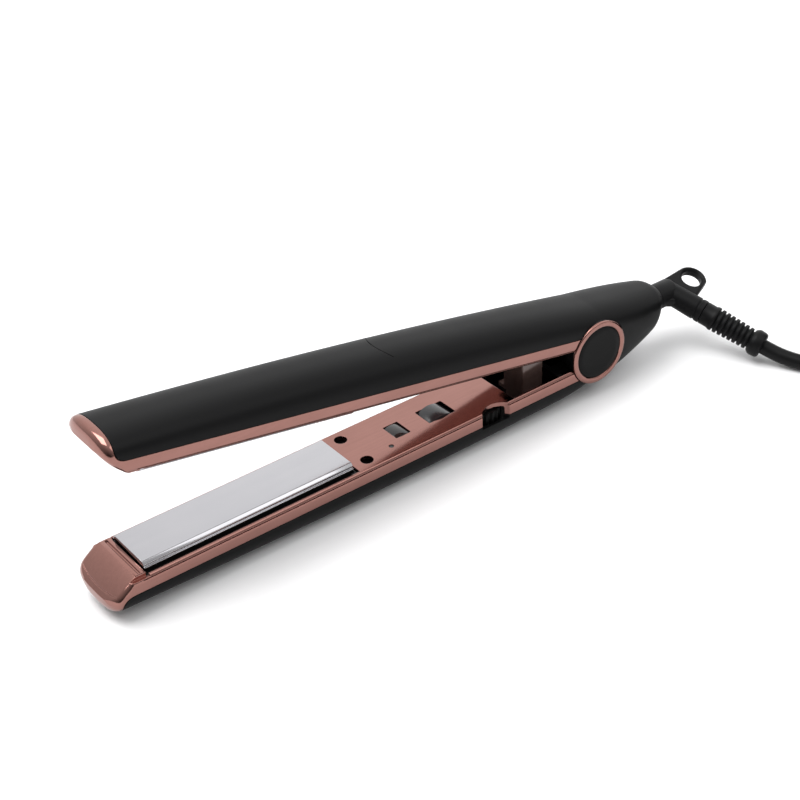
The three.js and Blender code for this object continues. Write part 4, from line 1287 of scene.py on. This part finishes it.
# ---- heated plates ------------------------------------------------------------------
@dataclass
class HeatedPlate:
    """A floating plate and the soft frame round it."""

    width: float = 20.0
    thickness: float = 1.6
    chamfer: float = 1.0
    flange: float = 0.7
    cutter: float = 1.2

    def plate(self, arm: str, frame: Matrix) -> Piece:
        """Make the plate of one arm.

        Args:
            arm: "upper" or "lower".
            frame: The arm's matrix.

        Returns:
            The plate.
        """
        half = self.width / 2
        front, rear = PLACES.plate_front, PLACES.plate_rear
        slope_end, low = half + 1, self.thickness + 0.4
        plate = block(f"{arm}_plate_polished", (front, rear), (-slope_end, slope_end), (0, low))
        reach = slope_end + self.flange
        change(plate, Cut.ADD, [block("step", (front, rear), (-reach, reach), (low, self.thickness + 1.2))])
        edge, size = half + self.chamfer / 2, self.cutter * math.sqrt(2)
        tools = []
        for side in (-1, 1):
            across = (-self.cutter, self.cutter)
            bevel = block("chamfer", (-200, 0), across, across)
            moved(bevel, Matrix.Rotation(math.radians(45), 4, "X"))
            place = (0, side * (edge + size / 2 + 0.001), self.chamfer / 2 - size / 2)
            tools.append(moved(bevel, Matrix.Translation(place)))
        change(plate, Cut.TAKE, tools)
        rounded(plate, 0.16, 3, 30.0)
        return finished(plate, frame, PLATE, f"{arm}_plate_float", [f"{arm}_plate"], 25.0)

    def cushion(self, arm: str, frame: Matrix) -> Piece:
        """Make the soft frame of one arm.

        Args:
            arm: "upper" or "lower".
            frame: The arm's matrix.

        Returns:
            The frame.
        """
        half = PLACES.well - GAP
        ends = (PLACES.well_front + GAP, PLACES.well_rear - GAP)
        cushion = block(f"{arm}_cushion_soft", ends, (-half, half), (FORM.lip + 0.8, 8.6))
        inner = half - 1.5
        room = (PLACES.plate_front + 0.5, PLACES.plate_rear + 0.4)
        change(cushion, Cut.TAKE, [block("room", room, (-inner, inner), (0, 20))])
        rounded(cushion, 0.3, 3)
        return finished(cushion, frame, RUBBER, f"{arm}_arm", [f"{arm}_plate_cushion"])


# ---- controls -----------------------------------------------------------------------
@dataclass
class Controls:
    """What shows in the lower floor: lens, rocker, lamp hole, wheel, screws and tower."""

    ribs: int = 20
    rib_depth: float = 0.75
    spring_radius: float = 3.4
    spring_turns: int = 6
    spring_wire: float = 0.6
    spring_foot: float = -10.4
    spring_top: float = 13.1
    tower_wall: float = 1.4

    def lens(self) -> Piece:
        """Make the domed lens of the indicator window."""
        x, y, length, width = PLACES.indicator
        half = width / 2 - GAP
        dome = bar("indicator_lens_domed", 9, "Y", (-half, half), (x, FORM.lip + 8.9), 128)
        reach = length / 2 - GAP
        keep = block("keep", (x - reach, x + reach), (-half, half), (FORM.lip - 1, FORM.floor_bottom))
        change(dome, Cut.KEEP, [keep])
        moved(dome, Matrix.Translation((0, y, 0)))
        rounded(dome, 0.25, 3)
        return finished(dome, LOWER, LENS, "lower_arm", ["indicator_lens"])

    def rocker(self) -> Piece:
        """Make the power rocker with its curved faces."""
        x, y, length, width = PLACES.rocker
        half = width / 2 - GAP
        drum = bar("power_rocker_gloss", 9.5, "Y", (-half, half), (x, FORM.lip + 8.6), 160)
        reach = length / 2 - 0.9
        depth = (FORM.lip - 1.2, FORM.floor_bottom + 2.4)
        change(drum, Cut.KEEP, [block("keep", (x - reach, x + reach), (-half, half), depth)])
        moved(drum, Matrix.Translation((0, y, 0)))
        rounded(drum, 0.45, 4)
        return finished(drum, LOWER, GLOSS, "power_switch", ["power_rocker"])

    def wheel(self) -> Piece:
        """Make the ribbed temperature wheel."""
        outline = []
        for i in range(self.ribs * 8):
            angle = 2 * math.pi * i / (self.ribs * 8)
            wave = (0.0, 0.0, 0.15, 0.85, 1.0, 1.0, 0.85, 0.15)[i % 8]
            radius = PLACES.wheel_radius - self.rib_depth * wave
            x, y = radius * math.cos(angle), radius * math.sin(angle)
            outline.append((PLACES.wheel_x + x, PLACES.wheel_y + y))
        low = PLACES.wheel_top
        wheel = plan("thumbwheel_ribbed", outline, (low, low + PLACES.wheel_thickness))
        rounded(wheel, 0.35, 2, 70.0)
        change(wheel, Cut.TAKE, [bar("hub", 2.3, "Z", (0, 40), (PLACES.wheel_x, PLACES.wheel_y), 48)])
        return finished(wheel, LOWER, SATIN, "temperature_wheel", ["thumbwheel"], 30.0)

    def screw(self, arm: str, frame: Matrix, number: int) -> Piece:
        """Make one cross-head screw, deep in its hole.

        Args:
            arm: "upper" or "lower".
            frame: The arm's matrix.
            number: 1 or 2.

        Returns:
            The screw.
        """
        head = FORM.lip + 2.4
        steps = ((0.25, 0), (0, 1.6), (0.2, 2.1), (0.6, 2.3), (1.3, 1.3), (7, 1.3), (7.6, 0))
        profile = [(head + depth, radius) for depth, radius in steps]
        screw = turned(f"{arm}_screw_{number}", profile, 48)
        long, narrow = (-1.5, 1.5), (-0.28, 0.28)
        slots = [block("slot", (head - 1, head + 1), *sides) for sides in ((long, narrow), (narrow, long))]
        change(screw, Cut.TAKE, slots)
        upright = Matrix.Rotation(math.radians(-90), 4, "Y")
        y = PLACES.screw_y * (-1 if number == 1 else 1)
        moved(screw, Matrix.Translation((PLACES.screw_x, y, 0)) @ upright)
        return finished(screw, frame, DARK_STEEL, f"{arm}_arm", [f"{arm}_liner_screw_{number}"])

    def tower(self) -> Piece:
        """Make the tower that hides the jaw's spring."""
        half = PLACES.tower_width / 2
        ends = (PLACES.tower_front, PLACES.tower_front + PLACES.tower_length)
        tower = rounded(block("spring_tower_plated", ends, (-half, half), (-6, 13)), 0.7, 4)
        wall = self.tower_wall
        bore = block("bore", (ends[0] + wall, ends[1] - wall), (-half + wall, half - wall), (-20, 11.6))
        change(tower, Cut.TAKE, [bore])
        change(tower, Cut.ADD, [block("flange", ends, (-half - 3, half + 3), (11, 13))])
        floor = FORM.crown(ends[1]) - FORM.shell_wall - 2 * GAP
        change(tower, Cut.ADD, [block("foot", ends, (-4.5, 4.5), (12, floor))])
        return finished(tower, LOWER, TOWER_BROWN, "lower_arm", ["spring_tower"])

    def spring(self) -> Piece:
        """Wind the jaw's spring, at the length that it has when the jaw is closed."""
        middle = PLACES.tower_front + PLACES.tower_length / 2
        low, high = FORM.contact + self.spring_foot, FORM.contact + self.spring_top
        last = self.spring_turns * 24
        path = []
        for i in range(last + 1):
            angle = 2 * math.pi * i / 24
            x, y = self.spring_radius * math.cos(angle), self.spring_radius * math.sin(angle)
            path.append(Vector((middle + x, y, low + (high - low) * i / last)))
        wound = Tube(self.spring_wire, 12).along("jaw_spring_wound", path)
        return finished(wound, Matrix.Identity(4), STEEL, "lower_arm", ["jaw_spring"])


# ---- swivel and strain relief --------------------------------------------------------
@dataclass
class Swivel:
    """The swivel gland with its hanging loop, and the ribbed strain relief."""

    neck: float = 4.6
    body: float = 5.9
    elbow: float = 5.3
    elbow_length: float = 18.5
    lean: float = 21.0
    body_x: float = 11.4
    loop_centre: float = 14.7
    loop: float = 7.0
    hole: float = 4.65
    web: float = 4.6
    relief: float = 30.0
    sleeve: float = 4.6
    ribs: int = 8
    rib_depth: float = 1.2

    def along_elbow(self) -> Matrix:
        """Give the move from the turning axis to the elbow's direction."""
        lean = Matrix.Rotation(math.radians(self.lean - 90), 4, "Z")
        return Matrix.Translation((self.body_x, 0, 0)) @ lean

    def gland(self) -> Piece:
        """Make the gland with its elbow and loop.

        Returns:
            The gland.
        """
        neck, big = self.neck, self.body
        end = self.body_x + 2
        profile = [(-4.3, 0), (-4.3, neck + 1.6), (-2.6, neck + 1.6), (-2.6, neck), (1.6, neck)]
        profile += [(1.8, big - 0.5), (2.3, big), (end - 1.5, big), (end - 0.5, big - 0.5)]
        profile += [(end, big - 1.6), (end, 0)]
        gland = turned("swivel_gland_moulded", profile, 96)
        long, wide, groove = self.elbow_length, self.elbow, self.elbow - 0.4
        shaft = [(0, 0), (0, 5.0), (long - 3.4, wide), (long - 3.1, groove), (long - 2.5, groove)]
        shaft += [(long - 2.2, wide), (long - 0.3, wide), (long, wide - 0.3), (long, 0)]
        elbow = moved(turned("elbow", shaft, 96), self.along_elbow())
        centre = self.body_x + self.loop_centre
        outline = [(4.0, -self.body + 1), (12.0, -9.0), (20.6, -9.3)]
        for i in range(25):
            angle = math.pi * (i - 8) / 32
            outline.append((centre + self.loop * math.cos(angle), self.loop * math.sin(angle)))
        outline.append((4.0, self.body - 1))
        web = rounded(plan("web", outline, (-self.web / 2, self.web / 2)), 1.1, 4, 60.0)
        change(gland, Cut.ADD, [elbow, web])
        eye = turned("eye", self.eye_profile(), 96)
        upright = Matrix.Translation((centre, 0, 0)) @ Matrix.Rotation(math.radians(90), 4, "Y")
        change(gland, Cut.TAKE, [moved(eye, upright)])
        return finished(gland, GLAND, MOULDED, "cord_swivel", ["swivel_gland"], 30.0)

    def eye_profile(self) -> list[Flat]:
        """Give the profile of the loop's hole, flared at both faces."""
        half, flare = self.web / 2, 1.0
        profile: list[Flat] = [(-10, 0), (-10, self.hole + flare), (-half, self.hole + flare)]
        for i in range(1, 6):
            angle = math.pi / 2 * i / 5
            rise = flare * math.sin(angle)
            profile.append((-half + rise, self.hole + (flare - rise) * 0.9))
        mirrored = [(-x, radius) for x, radius in reversed(profile)]
        return [*profile, *mirrored]

    def strain_relief(self) -> Piece:
        """Turn the tapered, ribbed strain relief.

        Returns:
            The strain relief.
        """
        start, end = self.elbow_length + GAP, self.elbow_length + GAP + self.relief
        profile: list[Flat] = [(start - 0.3, 0), (start - 0.3, self.elbow - 0.7), (start, self.elbow - 0.1)]
        profile.append((start + self.sleeve - 0.6, self.elbow - 0.1))
        pitch = (self.relief - 6.0 - self.sleeve) / self.ribs
        for i in range(self.ribs):
            x = start + self.sleeve + pitch * i
            radius = self.elbow + 0.35 - 0.09 * i
            root = radius - self.rib_depth
            profile += [(x + 0.2, radius - 0.1), (x + 0.5, radius), (x + pitch * 0.55, radius)]
            profile.append((x + pitch * 0.68, radius - 0.2))
            profile += [(x + pitch * 0.74, root), (x + pitch * 0.94, root)]
        profile += [(end - 5.8, 5.0), (end - 4.6, 5.9), (end - 3.8, 6.1), (end - 1.2, 5.95)]
        profile += [(end - 0.4, 5.6), (end, 4.9), (end, 0)]
        relief = turned("strain_relief_ribbed", profile, 72)
        moved(relief, self.along_elbow())
        return finished(relief, GLAND, MOULDED, "cord_swivel", ["strain_relief"], 30.0)


GLAND = Matrix.Translation((148, 0, FORM.contact + 2.5)) @ Matrix.Rotation(math.radians(20.6), 4, "X")


# ---- cord, plug and tie -------------------------------------------------------------
@dataclass
class Lead:
    """The mains lead: its run from the strain relief, its tied coil and its plug. In metres."""

    diameter: float = 0.0068
    fold: Flat = (0.228, -0.066)
    straight: float = 0.046
    middle: float = 0.0238
    rest: float = 0.0035
    lead_height: float = 0.0312
    plug_seat: float = 0.030
    run: tuple[Point, ...] = (
        (0.1758, -0.0400, 0.0085),
        (0.1773, -0.0435, 0.0072),
        (0.1800, -0.0498, 0.0052),
        (0.1832, -0.0562, 0.0040),
        (0.1872, -0.0628, 0.0035),
        (0.1918, -0.0689, 0.0035),
        (0.1970, -0.0746, 0.0035),
        (0.2026, -0.0800, 0.0035),
        (0.2084, -0.0850, 0.0035),
    )
    plug_run: tuple[Point, ...] = (
        (0.2144, -0.0424, 0.0314),
        (0.2045, -0.0524, 0.0320),
        (0.2010, -0.0660, 0.0333),
        (0.2053, -0.0791, 0.0351),
        (0.2155, -0.0877, 0.0372),
        (0.2280, -0.0898, 0.0388),
        (0.2350, -0.0898, 0.0390),
        (0.2370, -0.0898, 0.0390),
    )
    order: tuple[tuple[float, int], ...] = (
        (0.5, 0), (-0.5, 0), (-0.5, 1), (0.5, 1), (0.5, 2), (-0.5, 2), (-0.5, 3), (0.5, 3)
    )

    def loop(self, turn: int) -> list[Vector]:
        """Lay one turn of the folded coil, from its front fold's near side round to it again.

        The cord moves over to the next turn along the far run.

        Args:
            turn: Number of the turn, from 0.

        Returns:
            The turn's points. The last turn ends where the plug's lead takes over.
        """
        last = turn == len(self.order) - 1
        side, layer = self.order[turn]
        here = self.middle + side * self.diameter, self.rest + layer * self.diameter
        next_side, next_layer = self.order[min(turn + 1, len(self.order) - 1)]
        after = self.middle + next_side * self.diameter, self.rest + next_layer * self.diameter
        if last:
            after = here[0], self.lead_height
        x, y = self.fold
        rear = x + self.straight
        points = []
        for angle in (240, 255):
            points.append(self.on_fold(x, angle, *here))
        for share in (0, 0.33, 0.67):
            points.append(Vector((x + share * self.straight, y - here[0], here[1])))
        for angle in range(270, 450, 18):
            points.append(self.on_fold(rear, angle, *here))
        for share in (0.0, 0.2, 0.4, 0.6, 0.8):
            ease = share * share * (3 - 2 * share)
            reach = here[0] * (1 - ease) + after[0] * ease
            height = here[1] * (1 - ease) + after[1] * ease
            points.append(Vector((rear - share * self.straight, y + reach, height)))
        if last:
            points.append(Vector((x, y + after[0], after[1])))
            return points
        for angle in range(90, 230, 18):
            points.append(self.on_fold(x, angle, *after))
        return points

    def on_fold(self, x: float, angle: float, radius: float, height: float) -> Vector:
        """Give one point of a fold.

        Args:
            x: Where the middle of the fold stands.
            angle: Angle round it in degrees.
            radius: Radius of the turn there.
            height: Height of the turn there.

        Returns:
            The point.
        """
        across, along = math.cos(math.radians(angle)), math.sin(math.radians(angle))
        return Vector((x + radius * across, self.fold[1] + radius * along, height))

    def coil_points(self) -> list[Vector]:
        """List the points of the folded coil, turn by turn."""
        return [point for turn in range(len(self.order)) for point in self.loop(turn)]

    def route(self) -> list[Vector]:
        """Give the smooth line of the whole lead, in metres."""
        points = [*map(Vector, self.run), *self.coil_points(), *map(Vector, self.plug_run)]
        return smooth_path(points, 3)

    def cord(self, along: Sequence[Piece | str]) -> Piece:
        """Args:
            along: The separate pieces on it. Not used.

        Returns:
            The lead.
        """
        route = self.route()
        scaled = [point / MM for point in route]
        cord = Tube(self.diameter / 2 / MM, 18).along("mains_lead", scaled)
        cord.data.transform(Matrix.Scale(MM, 4))
        pick(cord)
        bpy.ops.object.shade_smooth_by_angle(angle=math.radians(40))
        cord.data.materials.append(CORD_SKIN.material())
        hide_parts("cord", "cord_coil", "plug_lead")
        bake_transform(cord)
        return cord

    def plug(self) -> Piece:
        """Loft the flat-sided plug with its tapered tail."""
        sizes = [
            (0.3, 4.4, 4.4), (0.6, 4.9, 4.9), (4, 5.0, 5.0), (8, 5.2, 5.1), (11.5, 5.6, 5.3),
            (13.5, 7.2, 5.7), (16, 10.5, 6.4), (19, 13.6, 7.3), (22, 15.6, 8.2), (24.5, 16.4, 8.8),
            (27, 16.8, 8.95), (34, 16.9, 8.95), (42, 16.9, 8.95), (48, 16.9, 8.9), (49.4, 16.6, 8.7),
            (50.1, 15.9, 8.0), (50.3, 15.2, 7.3),
        ]
        rows = []
        for y, wide, tall in sizes:
            power = 2.0 + 2.6 * min(1.0, max(0.0, (y - 11) / 14))
            row = []
            for i in range(72):
                angle = 2 * math.pi * i / 72
                c, s = math.cos(angle), math.sin(angle)
                across = math.copysign(abs(c) ** (2 / power), c) * wide
                up = math.copysign(abs(s) ** (2 / power), s) * tall
                row.append((across, y, 9 + up))
            rows.append(row)
        plug = loft("plug_moulded", rows)
        places = [(side * 17.6, 28 + 4.2 * i) for side in (-1, 1) for i in range(4)]
        change(plug, Cut.TAKE, [bar("grip", 1.1, "Z", (2.5, 15.5), place, 32) for place in places])
        return finished(plug, self.plug_frame(), MOULDED, "upper_arm", ["plug_body"], 40.0)

    def plug_frame(self) -> Matrix:
        """Give the plug's own frame, in which it points along +Y."""
        x = self.fold[0] / MM + 7
        y = (self.fold[1] - self.middle) / MM
        place = Matrix.Translation((x, y, self.plug_seat / MM))
        return place @ Matrix.Rotation(math.radians(-90), 4, "Z")

    def pin(self, side: int) -> Piece:
        """Turn one contact pin of the plug.

        Args:
            side: -1 for the left and 1 for the right.

        Returns:
            The pin.
        """
        profile = [(-1.0, 0), (-1.0, 2.4), (9.6, 2.4), (9.7, 2.25), (17.2, 2.25), (18.2, 1.9)]
        profile += [(18.8, 1.2), (19.0, 0)]
        place = "left" if side < 0 else "right"
        turn = Matrix.Rotation(math.radians(90), 4, "Z")
        pin = turned(f"pin_{place}", profile, 48)
        moved(pin, Matrix.Translation((side * 9.5, 50.6, 9)) @ turn)
        return finished(pin, self.plug_frame(), STEEL, "upper_arm", [f"plug_pin_{place}"], 30.0)

    def tie(self) -> Piece:
        """Make the strap that holds the coil, with its loose end."""
        x = (self.fold[0] + self.straight / 2) / MM
        y = (self.fold[1] - self.middle) / MM
        reach, top = 7.25, 28.5
        strap = block("coil_tie_strap", (x - 5, x + 5), (y - reach - 1, y + reach + 1), (0.05, top + 1.1))
        rounded(strap, 2.6, 5)
        inner = rounded(block("inner", (x - 9, x + 9), (y - reach, y + reach), (0.95, top)), 2.0, 5)
        change(strap, Cut.TAKE, [inner])
        end = rounded(block("end", (x - 4.4, x + 4.4), (y - reach - 2.1, y - reach - 0.8), (8, 24)), 0.5, 3)
        change(strap, Cut.ADD, [end])
        return finished(strap, Matrix.Identity(4), RUBBER, "upper_arm", ["coil_tie"], 40.0)


# ---- hidden pieces ------------------------------------------------------------------
HIDDEN: dict[str, Finish] = {
    "upper_heater": CERAMIC,
    "lower_heater": CERAMIC,
    "upper_plate_carrier": MOULDED,
    "lower_plate_carrier": MOULDED,
    "hinge_pin": STEEL,
    "hinge_bush_near": BRASS,
    "hinge_bush_far": BRASS,
    "indicator_led": LENS,
    "rocker_housing": SATIN,
    "circuit_board": BOARD,
    "potentiometer": STEEL,
}


def dress_hidden(frame: dict) -> None:
    """Give the solids that keep their shape their finish.
    """
    for name, finish in HIDDEN.items():
        node = frame["nodes"][name]
        node.data.materials.clear()
        node.data.materials.append(finish.material())
        LOG.info("%s: keeps its shape, finish %s", name, finish.name)


# ---- studio -------------------------------------------------------------------------
@dataclass
class Studio:
    """Floor, lights and camera."""

    camera_at: Point = (-0.32638, -0.45143, 0.40932)
    camera_turn: Point = (56.0242, 1.8569, -37.7317)
    lens: float = 75.617
    floor_size: float = 8.0
    bright_side: Point = (0.6, 0.6, 0.5)
    bright: float = 1.55
    dim: float = 0.05
    key_at: Point = (-0.5, 0.35, 1.5)
    key_size: Flat = (1.2, 1.2)
    key_power: float = 24.0
    fill_at: Point = (0.6, -0.9, 1.3)
    fill_size: Flat = (1.0, 1.0)
    fill_power: float = 5.0

    def floor(self) -> Piece:
        """Lay the floor."""
        bpy.ops.object.select_all(action="DESELECT")
        bpy.ops.mesh.primitive_plane_add(size=self.floor_size, location=(0, 0, 0))
        floor = bpy.context.object
        floor.name = "studio_floor"
        floor.data.materials.append(PAPER.material())
        return floor

    def camera(self) -> bpy.types.Object:
        """Stand the camera up."""
        data = bpy.data.cameras.new("camera")
        data.lens = self.lens
        data.sensor_width = 36.0
        data.clip_start = 0.01
        data.clip_end = 50.0
        camera = bpy.data.objects.new("camera", data)
        camera.location = self.camera_at
        camera.rotation_euler = [math.radians(turn) for turn in self.camera_turn]
        bpy.context.scene.collection.objects.link(camera)
        bpy.context.scene.camera = camera
        return camera

    def softbox(self, name: str, at: Point, size: Flat, power: float) -> None:
        """Hang a soft light that looks at the middle of the floor.

        Args:
            name: Name of the light.
            at: Where it hangs.
            size: Its width and height.
            power: Its power in watts.
        """
        data = bpy.data.lights.new(name, "AREA")
        data.shape = "RECTANGLE"
        data.size, data.size_y = size
        data.energy = power
        light = bpy.data.objects.new(name, data)
        light.location = at
        light.rotation_euler = (-Vector(at)).to_track_quat("-Z", "Y").to_euler()
        bpy.context.scene.collection.objects.link(light)

    def lights(self) -> None:
        """Set the world and the softboxes."""
        world = bpy.data.worlds.new("studio")
        world.use_nodes = True
        nodes, links = world.node_tree.nodes, world.node_tree.links
        coords = added(nodes, "TexCoord", {})
        facing = added(nodes, "VectorMath", {1: Vector(self.bright_side).normalized()})
        facing.operation = "DOT_PRODUCT"
        limits = {"From Min": -0.8, "From Max": 1.0, "To Min": self.dim, "To Max": self.bright}
        spread = added(nodes, "MapRange", limits)
        nodes["Background"].inputs["Color"].default_value = (1.0, 1.0, 1.0, 1.0)
        links.new(coords.outputs["Generated"], facing.inputs[0])
        links.new(facing.outputs["Value"], spread.inputs["Value"])
        links.new(spread.outputs["Result"], nodes["Background"].inputs["Strength"])
        bpy.context.scene.world = world
        self.softbox("key", self.key_at, self.key_size, self.key_power)
        self.softbox("fill", self.fill_at, self.fill_size, self.fill_power)
        bpy.context.scene.view_settings.view_transform = "Standard"


def main() -> None:
    """Build every sub-assembly in order."""
    logging.basicConfig(level=logging.INFO, format="%(name)s %(message)s")
    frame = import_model()
    studio = Studio()
    studio.camera()
    lead = Lead()
    tie = lead.tie()
    plug = lead.plug()
    pins = [lead.pin(-1), lead.pin(1)]
    lead.cord([tie, plug, *pins])
    studio.floor()
    studio.lights()
    swivel = Swivel()
    swivel.gland()
    swivel.strain_relief()
    liner = Liner()
    liner.upper()
    liner.lower()
    shells = Shells()
    shells.upper()
    shells.lower()
    hinge = Hinge()
    for side in (-1, 1):
        hinge.ring(side)
        hinge.cap(side)
    plates = HeatedPlate()
    controls = Controls()
    for arm, matrix in (("upper", UPPER), ("lower", LOWER)):
        plates.plate(arm, matrix)
        plates.cushion(arm, matrix)
        controls.screw(arm, matrix, 1)
        controls.screw(arm, matrix, 2)
    controls.lens()
    controls.rocker()
    controls.wheel()
    controls.tower()
    controls.spring()
    dress_hidden(frame)


if __name__ == "__main__":
    main()
